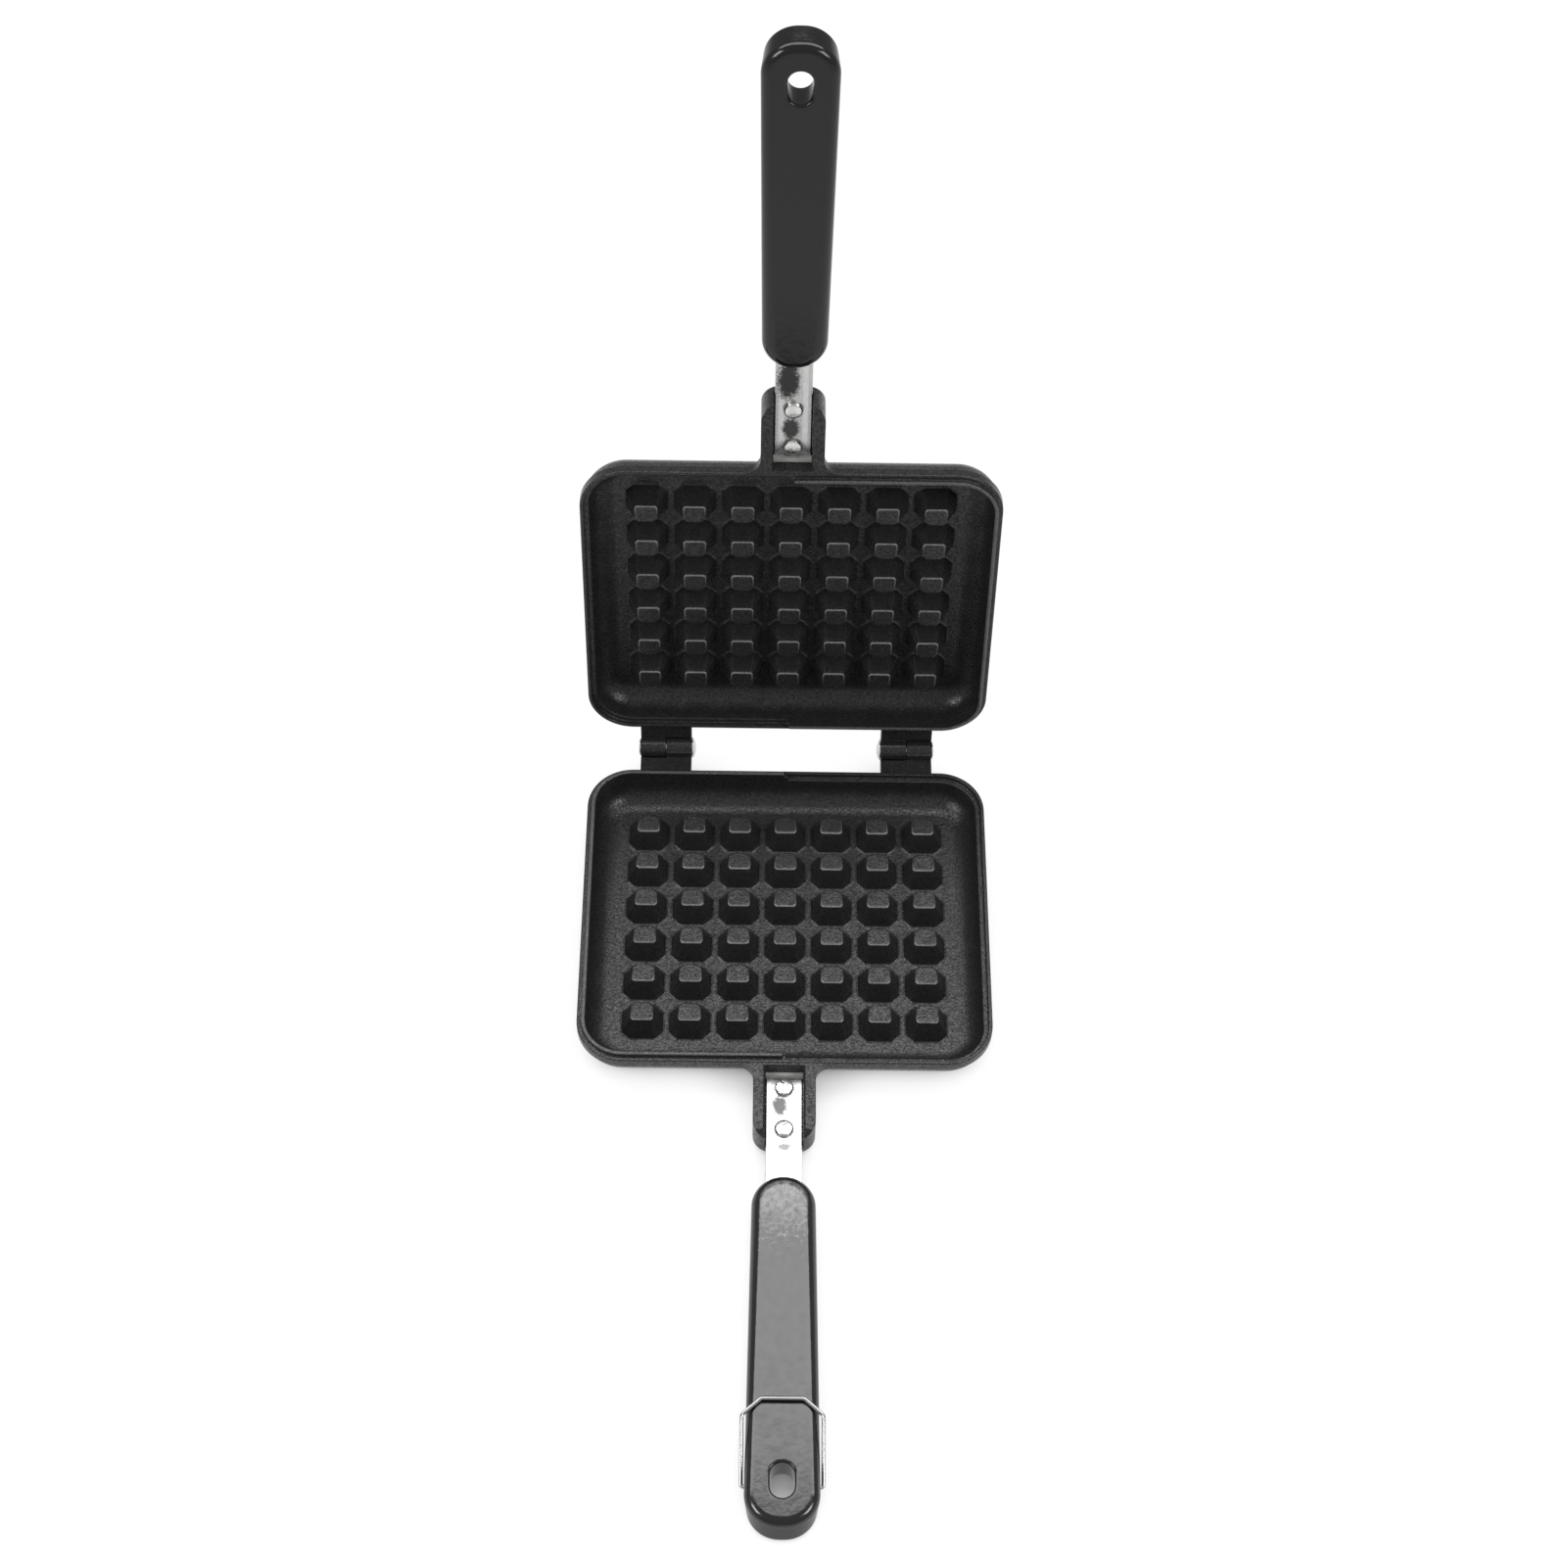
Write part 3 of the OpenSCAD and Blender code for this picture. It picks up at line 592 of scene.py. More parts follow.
def lug():
    """The cast lug with its channel, stepped recess, bevelled rails, sloping end and root fillets."""
    half, r = LUG_W / 2, LUG_CORNER_R
    root = PLATE_FAR - HIGH_ROOT
    plan = ([(half, root)] + arc(half - r, LUG_END - r, r, 0, 90, 10)
            + arc(r - half, LUG_END - r, r, 90, 180, 10) + [(-half, root)])
    base = scratch_object(slab(plan, LUG_BOTTOM, -LUG_DROP))
    # the foot of the lug runs in under the plate's cove
    below = [(root + 0.5, -6), (root, -6), (PLATE_FAR - 2.6, -7), (PLATE_FAR - 5, -11.2),
             (PLATE_FAR - 6, LUG_BOTTOM), (root + 0.5, LUG_BOTTOM)]
    reach = LUG_END + 2
    edge = CHANNEL_W / 2
    joined, cuts = [prism(below, -half, half)], []
    for s in (-1, 1):
        turn = LUG_FILLET_R
        web = [(s * (half - 0.5), PLATE_FAR - 0.5), (s * (half + turn), PLATE_FAR - 0.5)]
        web += [(s * x, u) for x, u in arc(half + turn, PLATE_FAR + turn, turn, 270, 180, 8)]
        web += [(s * (half - 0.5), PLATE_FAR + turn)]
        joined.append(slab(web, -BAND_H, -LUG_DROP))
        cuts.append(loft([[(s * (edge - 1), -u, 1), (s * (edge - 1), -u, -2),
                           (s * edge, -u, -LUG_DROP - RAIL_BEVEL), (s * (edge + RAIL_BEVEL), -u, -LUG_DROP),
                           (s * (edge + RAIL_BEVEL), -u, 1)] for u in (RECESS_WALL, reach)]))
    stepped = [(RECESS_WALL, 5), (RECESS_WALL, LEDGE_TOP), (RECESS_WALL + LEDGE_L, LEDGE_TOP),
               (RECESS_WALL + LEDGE_L, LUG_FLOOR), (reach, LUG_FLOOR), (reach, 5)]
    cuts.append(prism(stepped, -edge, edge))
    slope = [(LUG_END - SLOPE_L, -LUG_DROP), (LUG_END + 1, -LUG_DROP - SLOPE_H * (1 + 1 / SLOPE_L)),
             (LUG_END + 1, 3), (LUG_END - SLOPE_L, 3)]
    cuts.append(prism(slope, -LUG_W, LUG_W))
    return carve(base, joined=joined, cut=cuts, radius=LUG_R)


def casting(material):
    """A whole plate; both halves use the same one."""
    parts = [tray(), stud_field(material)]
    parts += [hinge_arm(side * HINGE_X) for side in (-1, 1)]
    parts.append(lug())
    return merged(parts, "casting")


# shank, rivets, pins

def shank():
    """The steel strip as one swept section with a shallow pressed channel."""
    w, top = SHANK_W / 2, SHANK_TOP
    bottom = top - SHANK_T
    edge, floor, depth = PRESSING
    corners = [(w, bottom), (w, top), (edge, top), (floor, top - depth),
               (-floor, top - depth), (-edge, top), (-w, top), (-w, bottom)]
    radii = [0.3, 0.35] + [PRESSING_R] * 4 + [0.35, 0.3]
    section = rounded_line(corners, radii, 4, closed=True)
    start = SHANK_START - 0.1
    into_handle = 3
    ends = [(start, 0.97, 0.8), (start + 0.12, 0.99, 0.94), (start + 0.35, 1, 1),
            (HANDLE_NEAR + into_handle, 1, 1)]
    mid = (top + bottom) / 2
    rings = [[(x * across, -u, mid + (z - mid) * high) for x, z in section] for u, across, high in ends]
    return to_mesh(make_bmesh(*loft(rings)), "shank")


def turned(profile):
    """A solid of revolution about Z through (radius, height) points, closed flat at both ends."""
    angles = [2 * math.pi * k / TURN_STEPS for k in range(TURN_STEPS)]
    rings = [[(r * math.cos(a), r * math.sin(a), z) for a in angles] for r, z in profile]
    return make_bmesh(*loft(rings))


def dome_profile(r, h, edge):
    """A low domed head with a rounded skirt."""
    ball = (r * r + (h - edge) ** 2) / (2 * (h - edge))
    reach = math.degrees(math.asin(r / ball))
    top = [(ball * math.sin(math.radians(a)), h - ball + ball * math.cos(math.radians(a)))
           for a in np.linspace(reach * 0.985, 1.5, 10)]
    return [(r - 0.18, 0), (r - 0.02, edge * 0.45)] + top


def pan_profile(r, h):
    """A low head with a nearly flat crown and a rounded shoulder."""
    crown = [(r * (0.68 - 0.13 * k), h - 0.16 * (1 - k / 5) ** 2) for k in range(6)]
    shoulder = arc(r - 0.95, h - 1.12, 0.92, 4, 72, 6)
    return [(r - 0.1, 0)] + shoulder + crown


def stem(r, length):
    """Profile points of the stem under a head."""
    return [(r, -length), (r, -SINK)]


def rivet():
    """Head in the channel and closed end under the lug, each with its piece of stem."""
    head = to_mesh(turned(stem(RIVET_STEM_R, 4.6) + pan_profile(RIVET_R, RIVET_H)), "rivet_head")
    tail = to_mesh(turned(stem(RIVET_STEM_R, 4.0) + dome_profile(*RIVET_TAIL)), "rivet_tail")
    head.transform(Matrix.Translation((0, 0, RIVET_SEAT)))
    tail.transform(Matrix.Translation((0, 0, LUG_BOTTOM)) @ Matrix.Rotation(math.pi, 4, "X"))
    return merged([head, tail], "rivet")


def hinge_pin(side):
    """Pin of one hinge, with its head towards the middle and its closed-over end outside."""
    half = HINGE_W / 2 + PIN_CLEAR
    head_mesh = to_mesh(turned(stem(PIN_R, 2 * half - 1.0) + dome_profile(*PIN_HEAD)), "pin_head")
    tail_mesh = to_mesh(turned(stem(PIN_R, 2.0) + dome_profile(*PIN_TAIL)), "pin_tail")
    inward = Matrix.Rotation(-side * math.pi / 2, 4, "Y")
    outward = Matrix.Rotation(side * math.pi / 2, 4, "Y")
    head_mesh.transform(Matrix.Translation((side * (HINGE_X - half), 0, 0)) @ inward)
    tail_mesh.transform(Matrix.Translation((side * (HINGE_X + half), 0, 0)) @ outward)
    return merged([head_mesh, tail_mesh], "pin")


# handles

def handle_outline(face, inset):
    """Plan of the handle at its front or back face, drawn in by a share of each end's edge radius."""
    r, x, edge, reach = {"front": (FRONT_R, FRONT_X, FRONT_EDGE, FRONT_REACH),
                         "back": (BACK_R, BACK_X, BACK_EDGE, BACK_REACH)}[face]
    far_u, near_u = reach - r, HANDLE_NEAR + NEAR_R
    far_r, near_r = r - edge * inset, NEAR_R - NEAR_EDGE * inset
    right = [(x + far_r, far_u), (NEAR_X + near_r, near_u)]
    side = [(right[0][0] + (right[1][0] - right[0][0]) * k / 6, far_u + (near_u - far_u) * k / 6)
            for k in range(5, 0, -1)]
    return (arc(x, far_u, far_r, 0, 90, 16) + arc(-x, far_u, far_r, 90, 180, 16)
            + [(-sx, su) for sx, su in reversed(side)]
            + arc(-NEAR_X, near_u, near_r, 180, 270, 14) + arc(NEAR_X, near_u, near_r, 270, 360, 14) + side)


def slot_outline(grow):
    """Plan of the hanging hole, widened by the given amount."""
    steps = 12
    r = SLOT_W / 2 + grow
    half = SLOT_L / 2 - SLOT_W / 2
    return arc(0, SLOT_U + half, r, 0, 180, steps) + arc(0, SLOT_U - half, r, 180, 360, steps)


def handle():
    """Moulded handle: rounded shell, flat faces and the hanging hole with its rounded lips."""

    def shell_ring(face, inset, drop):
        """The shell's outline near one face, with shares of the edge radius for the inset and the drop."""
        side = 1 if face == "front" else -1
        far = FRONT_EDGE if face == "front" else BACK_EDGE
        ring = []
        for x, u in handle_outline(face, inset):
            t = min(max((u - HANDLE_NEAR - NEAR_R) / (HANDLE_L - NEAR_R - FRONT_R), 0), 1)
            edge = NEAR_EDGE + (far - NEAR_EDGE) * t
            ring.append((x, -u, HANDLE_MID + side * (HALF_T - edge * drop)))
        return ring

    steps = 9
    angles = [math.radians(90 * k / steps) for k in range(steps + 1)]
    rings = [shell_ring("back", FLAT_EDGE, 0)]
    rings += [shell_ring("back", 1 - math.sin(a), 1 - math.cos(a)) for a in angles]
    rings += [shell_ring("front", 1 - math.cos(a), 1 - math.sin(a)) for a in angles]
    rings.append(shell_ring("front", FLAT_EDGE, 0))
    verts, faces = loft(rings, caps=False)
    hole_levels = [(grow, HANDLE_MID + HALF_T - down) for grow, down in SLOT_LIP]
    hole_levels += [(grow, HANDLE_MID - HALF_T + down) for grow, down in reversed(SLOT_LIP)]
    hole_rings = [[(x, -u, z) for x, u in slot_outline(grow)] for grow, z in hole_levels]
    base = len(verts)
    hole_verts, hole_faces = loft(hole_rings, caps=False)
    verts += hole_verts
    faces += [tuple(base + i for i in f) for f in hole_faces]
    n, m = len(rings[0]), len(hole_rings[0])
    for outer_start, hole_start in (((len(rings) - 1) * n, base), (0, base + (len(hole_rings) - 1) * m)):
        loops = [[Vector((*verts[outer_start + k][:2], 0)) for k in range(n)],
                 [Vector((*verts[hole_start + k][:2], 0)) for k in range(m)]]
        index = [outer_start + k for k in range(n)] + [hole_start + k for k in range(m)]
        for tri in tessellate_polygon(loops):
            faces.append(tuple(index[i] for i in tri))
    return to_mesh(make_bmesh(verts, faces), "handle")


# latch wire

def latch_path():
    """Centre line of the latch wire with soft bends, in the plane of the latch."""
    corner = LATCH_REACH - LATCH_CORNER_L
    points = [(-PIVOT_X - PIVOT_HOLD, 0), (-LEG_X, 0), (-LEG_X, corner), (-LATCH_BAR_W / 2, LATCH_REACH),
              (LATCH_BAR_W / 2, LATCH_REACH), (LEG_X, corner), (LEG_X, 0), (PIVOT_X + PIVOT_HOLD, 0)]
    line = rounded_line(points, [PIVOT_BEND] + [LATCH_BEND] * 4 + [PIVOT_BEND], 8)
    turn = math.radians(LATCH_ANGLE)
    return [(x, -LATCH_U + y * math.cos(turn), HANDLE_MID + y * math.sin(turn)) for x, y in line]


def latch_wire(material):
    """A round section swept along the latch's path by a Geometry Nodes group."""
    curve = bpy.data.curves.new("latch_path", "CURVE")
    curve.dimensions = "3D"
    path = latch_path()
    spline = curve.splines.new("POLY")
    spline.points.add(len(path) - 1)
    for point, place in zip(spline.points, path):
        point.co = (*place, 1)
    obj = linked("latch_path", curve)
    group = bpy.data.node_groups.new("Round wire", "GeometryNodeTree")
    group.interface.new_socket(name="Geometry", in_out="OUTPUT", socket_type="NodeSocketGeometry")
    wanted = [("Geometry", "NodeSocketGeometry"), ("Wire radius", "NodeSocketFloat"),
              ("Sides", "NodeSocketInt"), ("Material", "NodeSocketMaterial")]
    sockets = {n: group.interface.new_socket(name=n, in_out="INPUT", socket_type=t) for n, t in wanted}
    new, link = group.nodes.new, group.links.new
    given, out = new("NodeGroupInput"), new("NodeGroupOutput")
    circle, sweep = new("GeometryNodeCurvePrimitiveCircle"), new("GeometryNodeCurveToMesh")
    real, paint = new("GeometryNodeRealizeInstances"), new("GeometryNodeSetMaterial")
    sweep.inputs["Fill Caps"].default_value = True
    link(given.outputs["Wire radius"], circle.inputs["Radius"])
    link(given.outputs["Sides"], circle.inputs["Resolution"])
    link(given.outputs["Geometry"], sweep.inputs["Curve"])
    link(circle.outputs["Curve"], sweep.inputs["Profile Curve"])
    link(sweep.outputs["Mesh"], real.inputs["Geometry"])
    link(real.outputs["Geometry"], paint.inputs["Geometry"])
    link(given.outputs["Material"], paint.inputs["Material"])
    link(paint.outputs["Geometry"], out.inputs["Geometry"])
    modifier = obj.modifiers.new("wire", "NODES")
    modifier.node_group = group
    for key, value in {"Wire radius": WIRE_R, "Sides": WIRE_SIDES, "Material": material}.items():
        modifier[sockets[key].identifier] = value
    mesh = baked(obj)
    bm = bmesh.new()
    bm.from_mesh(mesh)
    bmesh.ops.recalc_face_normals(bm, faces=bm.faces)
    return to_mesh(bm, "latch")


# materials

def shader_group(name, inputs, outputs):
    """A node group with its sockets, and the two nodes that stand for them inside."""
    group = bpy.data.node_groups.new(name, "ShaderNodeTree")
    for key, kind, value in inputs:
        socket = group.interface.new_socket(name=key, in_out="INPUT", socket_type=kind)
        if value is not None:
            socket.default_value = value
    for key, kind in outputs:
        group.interface.new_socket(name=key, in_out="OUTPUT", socket_type=kind)
    return group, group.nodes.new("NodeGroupInput"), group.nodes.new("NodeGroupOutput")


def noise(tree, vector, scale, detail, roughness, name):
    """A noise texture; its scale is a number or a socket."""
    node = tree.nodes.new("ShaderNodeTexNoise")
    node.inputs["Detail"].default_value = detail
    node.inputs["Roughness"].default_value = roughness
    node.label = name
    tree.links.new(vector, node.inputs["Vector"])
    if isinstance(scale, (int, float)):
        node.inputs["Scale"].default_value = scale
    else:
        tree.links.new(scale, node.inputs["Scale"])
    return node.outputs["Fac"]


def math_node(tree, operation, a, b=None):
    """One sum on two values, each a number or a socket."""
    node = tree.nodes.new("ShaderNodeMath")
    node.operation = operation
    for socket, value in zip(node.inputs, (a, b)):
        if value is None:
            continue
        if isinstance(value, (int, float)):
            socket.default_value = value
        else:
            tree.links.new(value, socket)
    return node.outputs[0]


def multiply(tree, a, b):
    """The product of two values."""
    return math_node(tree, "MULTIPLY", a, b)


def remap(tree, value, low, high, to_low=0.0, to_high=1.0):
    """The value stretched from one range to another and held inside it."""
    node = tree.nodes.new("ShaderNodeMapRange")
    for key, number in (("From Min", low), ("From Max", high), ("To Min", to_low), ("To Max", to_high)):
        node.inputs[key].default_value = number
    tree.links.new(value, node.inputs["Value"])
    return node.outputs["Result"]


def grain_group():
    """Fine cast grain under a rolled coating: a height, a tone and scattered glossy spots."""
    group, given, out = shader_group(
        "Cast grain",
        [("Vector", "NodeSocketVector", None), ("Grain scale", "NodeSocketFloat", GRAIN_SCALE),
         ("Pebble scale", "NodeSocketFloat", PEBBLE_SCALE),
         ("Glint share", "NodeSocketFloat", GLINT_SHARE)],
        [("Height", "NodeSocketFloat"), ("Tone", "NodeSocketFloat"), ("Glint", "NodeSocketFloat")])
    v = given.outputs["Vector"]
    fine = noise(group, v, given.outputs["Grain scale"], detail=3.0, roughness=0.6, name="grain")
    pebble = noise(group, v, given.outputs["Pebble scale"], detail=2.0, roughness=0.5, name="pebble")
    high_grain = multiply(group, fine, GRAIN_HEIGHT)
    height = math_node(group, "ADD", high_grain, multiply(group, pebble, PEBBLE_HEIGHT))
    cells = group.nodes.new("ShaderNodeTexVoronoi")
    group.links.new(v, cells.inputs["Vector"])
    cells.inputs["Scale"].default_value = GLINT_SCALE
    pick = group.nodes.new("ShaderNodeSeparateColor")
    group.links.new(cells.outputs["Color"], pick.inputs["Color"])
    chosen = math_node(group, "LESS_THAN", pick.outputs[0], given.outputs["Glint share"])
    core = remap(group, cells.outputs["Distance"], 0.45, 0.2)
    group.links.new(height, out.inputs["Height"])
    group.links.new(remap(group, fine, 0.35, 0.65), out.inputs["Tone"])
    group.links.new(multiply(group, chosen, core), out.inputs["Glint"])
    return group


def new_material(name):
    """A material with its node tree and its main shader."""
    material = bpy.data.materials.new(name)
    material.use_nodes = True
    tree = material.node_tree
    shader = next(n for n in tree.nodes if n.type == "BSDF_PRINCIPLED")
    return material, tree, shader


def half_place(tree):
    """The point's place in its half's own frame, in millimetres."""
    node = tree.nodes.new("ShaderNodeAttribute")
    node.attribute_name = "half_mm"
    return node.outputs["Vector"]


def axes(tree, vector):
    """The three parts of a vector."""
    split = tree.nodes.new("ShaderNodeSeparateXYZ")
    tree.links.new(vector, split.inputs[0])
    return split.outputs


def bump(tree, height, strength, distance, normal=None):
    """A normal raised by a height, on top of another normal where one is given."""
    node = tree.nodes.new("ShaderNodeBump")
    node.inputs["Strength"].default_value = strength
    node.inputs["Distance"].default_value = distance
    tree.links.new(height, node.inputs["Height"])
    if normal is not None:
        tree.links.new(normal, node.inputs["Normal"])
    return node.outputs["Normal"]


def mix_colour(tree, fac, a, b):
    """From colour a to colour b; each is a colour or a socket."""
    node = tree.nodes.new("ShaderNodeMix")
    node.data_type = "RGBA"
    for socket, value in zip((node.inputs[0], node.inputs[6], node.inputs[7]), (fac, a, b)):
        if isinstance(value, tuple):
            socket.default_value = (*value, 1)
        else:
            tree.links.new(value, socket)
    return node.outputs[2]


def box_mask(tree, vector, low, high):
    """One inside a box given in (x, distance from the axis, height), zero outside."""
    across, back, up = axes(tree, vector)
    along = multiply(tree, back, -1.0)
    mask = None
    for value, start, end in zip((across, along, up), low, high):
        inside = math_node(tree, "COMPARE", value, (start + end) / 2)
        inside.node.inputs[2].default_value = (end - start) / 2
        mask = inside if mask is None else multiply(tree, mask, inside)
    return mask


def coated_plate(grain):
    """Black coating with a painted highlight on the bead and on the stud edges that look to the handle, and
    bare on the lug's ledge.
    """
    material, tree, shader = new_material("coated_plate")
    place = half_place(tree)
    texture = tree.nodes.new("ShaderNodeGroup")
    texture.node_tree = grain
    tree.links.new(place, texture.inputs["Vector"])
    tone = texture.outputs["Tone"]
    colour = mix_colour(tree, tone, COATING_DARK, COATING_LIGHT)

    half_x, half_u = STUD_COLS * STUD_PX / 2, STUD_ROWS * STUD_PY / 2
    stud_top = STUD_H - CAVITY
    # painted highlight on the studs' crests, strongest on the edges that look to the handle
    crest = box_mask(tree, place, (-half_x, PLATE_MID - half_u, stud_top - CREST_BAND[0]),
                     (half_x, PLATE_MID + half_u, stud_top - CREST_BAND[1]))
    first_edge = PLATE_MID - STUD_SHIFT - half_u
    # the whole part is the stud's row, and the rest runs from its hinge side to its handle side
    row = math_node(tree, "DIVIDE", math_node(tree, "SUBTRACT", -first_edge, axes(tree, place)[1]), STUD_PY)
    toward_handle = remap(tree, math_node(tree, "FRACT", row), 0.48, 0.72, 0.08, 1.0)
    crest = multiply(tree, crest, toward_handle)
    # the bead's top gets a weaker painted highlight
    bead_top = box_mask(tree, place, (-PLATE_W, 0, BEAD_H - BEAD_BAND), (PLATE_W, PLATE_FAR, BEAD_H + 0.1))
    painted_highlight = math_node(tree, "MAXIMUM", crest, multiply(tree, bead_top, BEAD_HIGHLIGHT_SHARE))
    painted_highlight = multiply(tree, painted_highlight, remap(tree, tone, 0, 1, 0.55, 1.0))
    colour = mix_colour(tree, painted_highlight, colour, EDGE_HIGHLIGHT_PAINT)
    bare = box_mask(tree, place, (-LEDGE_HALF_W, RECESS_WALL + 0.15, LEDGE_TOP - 2.6),
                    (LEDGE_HALF_W, RECESS_WALL + 3, LEDGE_TOP + 0.3))
    colour = mix_colour(tree, bare, colour, BARE_CASTING)
    tree.links.new(colour, shader.inputs["Base Color"])

    rough = remap(tree, tone, 0, 1, *COATING_ROUGH)
    rough = math_node(tree, "SUBTRACT", rough, multiply(tree, texture.outputs["Glint"], GLINT_ROUGH))
    tree.links.new(rough, shader.inputs["Roughness"])
    tree.links.new(remap(tree, tone, 0, 1, *COATING_GLOSS), shader.inputs["Specular IOR Level"])
    soft = tree.nodes.new("ShaderNodeBevel")
    soft.samples = 4
    soft.inputs["Radius"].default_value = SOFT_EDGE
    normal = bump(tree, texture.outputs["Height"], 1.0, GRAIN_DEPTH, soft.outputs["Normal"])
    tree.links.new(normal, shader.inputs["Normal"])
    return material


def gloss_handle(name, gloss, with_sheen):
    """Black moulded plastic; where asked, a mottled painted sheen lies on the face of its near end."""
    material, tree, shader = new_material(name)
    place = half_place(tree)
    mottle = noise(tree, place, 0.35, detail=3.0, roughness=0.55, name="mottle")
    fine = noise(tree, place, 2.2, detail=2.0, roughness=0.5, name="peel")
    # a mottled painted sheen on the near end of the face
    sheen = noise(tree, place, 0.5, detail=4.0, roughness=0.6, name="sheen")
    back, up = axes(tree, place)[1:]
    reach = remap(tree, back, *SHEEN_ENDS, -0.35, 0.12)
    sheen = remap(tree, math_node(tree, "ADD", sheen, reach), 0.35, 0.75)
    face_top = HANDLE_MID + HANDLE_T / 2
    face = remap(tree, up, face_top - FACE_BAND[0], face_top - FACE_BAND[1])
    sheen = multiply(tree, multiply(tree, sheen, face), 1.0 if with_sheen else 0.0)
    tree.links.new(mix_colour(tree, sheen, PLASTIC, PAINTED_SHEEN), shader.inputs["Base Color"])
    shader.inputs["Specular IOR Level"].default_value = gloss
    tree.links.new(remap(tree, mottle, 0.3, 0.7, *PLASTIC_ROUGH), shader.inputs["Roughness"])
    height = math_node(tree, "ADD", mottle, multiply(tree, fine, 0.15))
    tree.links.new(bump(tree, height, 0.3, PLASTIC_DEPTH), shader.inputs["Normal"])
    return material


def metal(name, colour, rough_low, rough_high, scale, streak=(1.0, 1.0, 1.0),
          depth=METAL_DEPTH, strength=0.3, dark_reflections=()):
    """Bare metal with fine streaks and, where given, painted dark reflections."""
    material, tree, shader = new_material(name)
    place = half_place(tree)
    stretch = tree.nodes.new("ShaderNodeMapping")
    stretch.inputs["Scale"].default_value = streak
    tree.links.new(place, stretch.inputs["Vector"])
    texture = noise(tree, stretch.outputs["Vector"], scale, detail=3.0, roughness=0.6, name="streaks")
    smear = noise(tree, place, 0.25, detail=2.0, roughness=0.5, name="smears")
    shader.inputs["Metallic"].default_value = 1.0
    tone = mix_colour(tree, smear, tuple(c * 0.86 for c in colour), colour)
    rough = remap(tree, texture, 0.3, 0.7, rough_low, rough_high)
    ragged = noise(tree, place, 0.9, detail=4.0, roughness=0.7, name="ragged")
    # dark patches painted where the shank would reflect dark surroundings; they are also made rougher
    for x, u, half_x, half_u, dark in dark_reflections:
        spread = tree.nodes.new("ShaderNodeMapping")
        spread.inputs["Location"].default_value = (-x / half_x, u / half_u, 0)
        spread.inputs["Scale"].default_value = (1 / half_x, 1 / half_u, 0)
        tree.links.new(place, spread.inputs["Vector"])
        reach = tree.nodes.new("ShaderNodeVectorMath")
        reach.operation = "LENGTH"
        tree.links.new(spread.outputs["Vector"], reach.inputs[0])
        torn = math_node(tree, "ADD", reach.outputs["Value"], multiply(tree, ragged, 1.3))
        mask = remap(tree, torn, 1.75, 1.35)
        tone = mix_colour(tree, multiply(tree, mask, dark), tone, REFLECTION_DARK)
        rough = math_node(tree, "ADD", rough, multiply(tree, mask, 0.2))
    tree.links.new(tone, shader.inputs["Base Color"])
    tree.links.new(rough, shader.inputs["Roughness"])
    tree.links.new(bump(tree, texture, strength, depth), shader.inputs["Normal"])
    return material


plate_material = coated_plate(grain_group())
# one plastic in two copies: the upper one's lower gloss is painted shade on its reflections, and the lower
# one also carries a painted sheen
handle_materials = {"lower": gloss_handle("handle_plastic_lit", gloss=0.62, with_sheen=True),
                    "upper": gloss_handle("handle_plastic_shaded", gloss=0.36, with_sheen=False)}
shank_materials = {half: metal("shank_steel_" + half, SHANK_STEEL, rough_low=0.22, rough_high=0.36, scale=1.6,
                               streak=(3.0, 0.25, 3.0), dark_reflections=PAINTED_REFLECTIONS[half])
                   for half in ("lower", "upper")}
rivet_material = metal("rivet_metal", RIVET_METAL, rough_low=0.20, rough_high=0.32, scale=0.55,
                       depth=RIVET_DEPTH, strength=0.8)
pin_material = metal("pin_steel", PIN_STEEL, rough_low=0.12, rough_high=0.22, scale=1.4)
latch_material = metal("latch_steel", WIRE_STEEL, rough_low=0.12, rough_high=0.20, scale=2.0)

# the object

cast = casting(plate_material)
strip, moulding = shank(), handle()
head = rivet()
for half, place in PLACES.items():
    body = half + "_half"
    add_piece(half + "_plate_cast", cast, place, body, plate_material,
              [half + "_plate"])
    add_piece(half + "_shank_strip", strip, place, body, shank_materials[half],
              [half + "_shank"])
    for name, u in zip(("rear", "front"), RIVETS_U):
        moved = head.copy()
        moved.transform(Matrix.Translation((0, -u, 0)))
        add_piece(f"{half}_{name}_rivet_head", moved, place, body, rivet_material,
                  [f"{half}_{name}_rivet"])
    add_piece(half + "_grip", moulding, place, body, handle_materials[half],
              [half + "_handle"])
for side, name in ((-1, "left"), (1, "right")):
    add_piece(name + "_pin", hinge_pin(side), TO_LOWER, "lower_half", pin_material,
              [name + "_hinge_pin"])
add_piece("latch_wire", latch_wire(latch_material), TO_LOWER, "latch", latch_material,
          ["latch_bail"])


# stage, light and camera

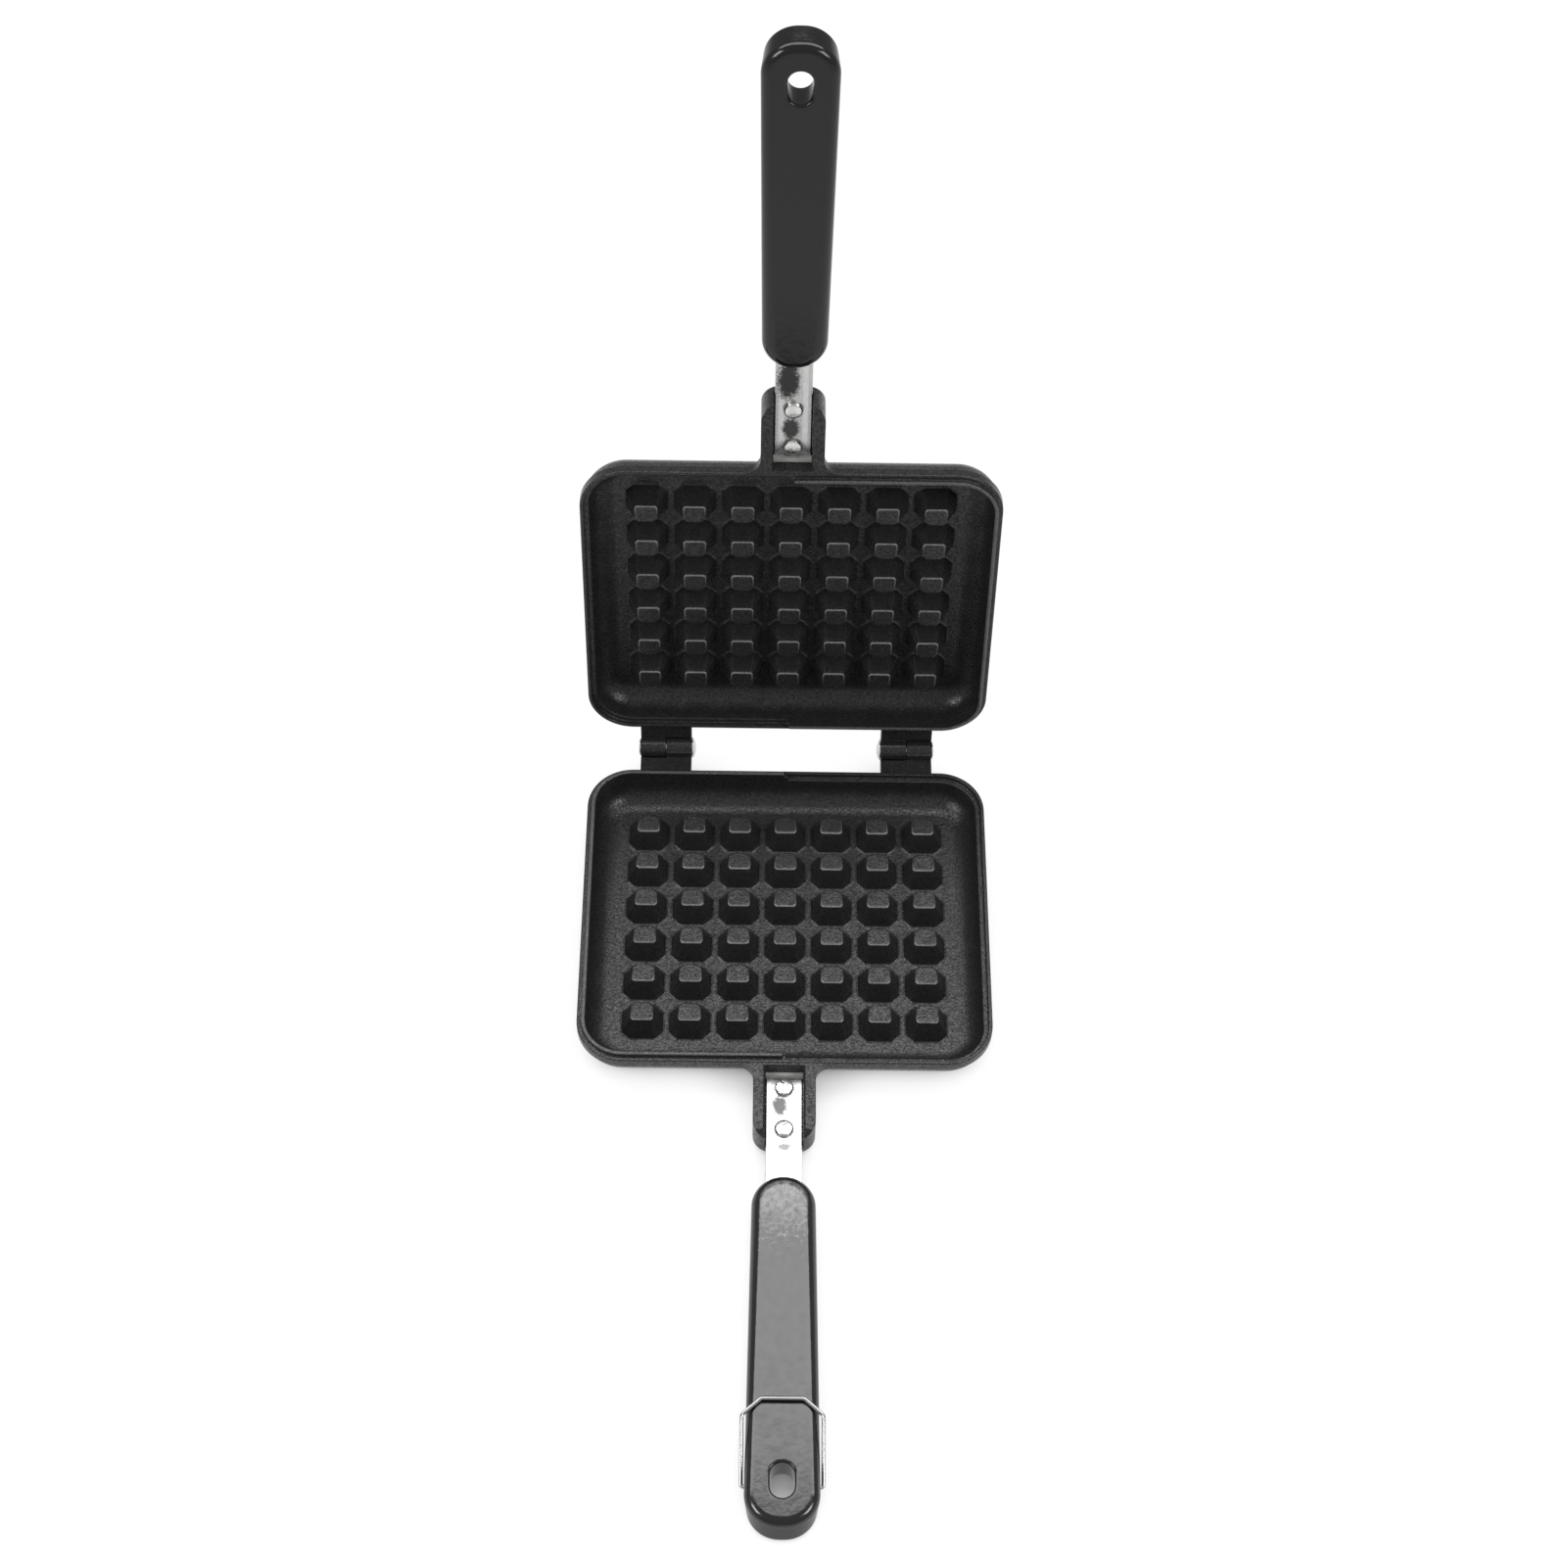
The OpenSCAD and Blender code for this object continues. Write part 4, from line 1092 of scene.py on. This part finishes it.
def stage_floor():
    """White floor: it glows for the camera except close to the object, and half for reflections."""
    corners = [(x * FLOOR_HALF, y * FLOOR_HALF, 0) for x, y in ((-1, -1), (1, -1), (1, 1), (-1, 1))]
    mesh = to_mesh(make_bmesh(corners, [(0, 1, 2, 3)]), "floor")
    floor = linked("floor", mesh)
    material, tree, shader = new_material("floor_paper")
    shader.inputs["Base Color"].default_value = (*PAPER, 1)
    shader.inputs["Roughness"].default_value = 0.9
    shader.inputs["Specular IOR Level"].default_value = 0.1
    glow = tree.nodes.new("ShaderNodeEmission")
    glow.inputs["Strength"].default_value = FLOOR_GLOW
    path = tree.nodes.new("ShaderNodeLightPath")
    pick = tree.nodes.new("ShaderNodeMixShader")
    end = next(n for n in tree.nodes if n.type == "OUTPUT_MATERIAL")
    open_sky = tree.nodes.new("ShaderNodeAmbientOcclusion")
    open_sky.samples = 12
    open_sky.inputs["Distance"].default_value = CONTACT_REACH
    lit = remap(tree, open_sky.outputs["AO"], *OPEN_RANGE, 0.0, OPEN_GLOW)
    shown = math_node(tree, "MAXIMUM", path.outputs["Is Camera Ray"], path.outputs["Is Transmission Ray"])
    mirrored = multiply(tree, path.outputs["Is Glossy Ray"], MIRRORED_GLOW)
    seen = math_node(tree, "MAXIMUM", multiply(tree, shown, lit), mirrored)
    tree.links.new(seen, pick.inputs[0])
    tree.links.new(shader.outputs[0], pick.inputs[1])
    tree.links.new(glow.outputs[0], pick.inputs[2])
    tree.links.new(pick.outputs[0], end.inputs["Surface"])
    mesh.materials.append(material)


def softbox(name, place, aim, size, radiance):
    """A rectangular light that looks equally bright at any size."""
    light = bpy.data.lights.new(name, "AREA")
    light.shape = "RECTANGLE"
    light.size, light.size_y = size
    light.energy = radiance * math.pi * size[0] * size[1]
    obj = linked(name, light)
    obj.location = place
    obj.rotation_euler = (Vector(aim) - Vector(place)).to_track_quat("-Z", "Y").to_euler()


stage_floor()
softbox("softbox_back", place=(0, 0.365, 1.06), aim=(0, 0.365, 0), size=(1.6, 0.42), radiance=4.9)
for side in (-1, 1):
    softbox("softbox_side", place=(side * 0.8, -0.42, 0.85), aim=(0, 0, 0.1), size=(0.42, 0.42), radiance=9.0)

scene = bpy.context.scene
world = bpy.data.worlds.new("studio")
world.use_nodes = True
background = world.node_tree.nodes["Background"]
background.inputs["Color"].default_value = (1, 1, 1, 1)
seen_directly = world.node_tree.nodes.new("ShaderNodeLightPath").outputs["Is Camera Ray"]
strength = remap(world.node_tree, seen_directly, 0.0, 1.0, WORLD_LIGHT, WORLD_SEEN)
world.node_tree.links.new(strength, background.inputs["Strength"])
scene.world = world

camera = bpy.data.cameras.new("camera")
camera.sensor_width = SENSOR_MM
camera.lens = FOCAL_PX / PHOTO_PX * SENSOR_MM
camera.clip_start = 0.05
camera.clip_end = 50
camera_object = linked("camera", camera)
turn = Matrix.Rotation(ROLL, 3, "Z") @ Matrix.Rotation(YAW, 3, "Y") @ Matrix.Rotation(PITCH, 3, "X")
seat = Vector((CAMERA_X, CAMERA_Y + PLATE_MID, CAMERA_Z + UNDERSIDE)) * MM
camera_object.matrix_world = Matrix.Translation(seat) @ turn.transposed().to_4x4()
scene.camera = camera_object
scene.view_settings.view_transform = "Standard"
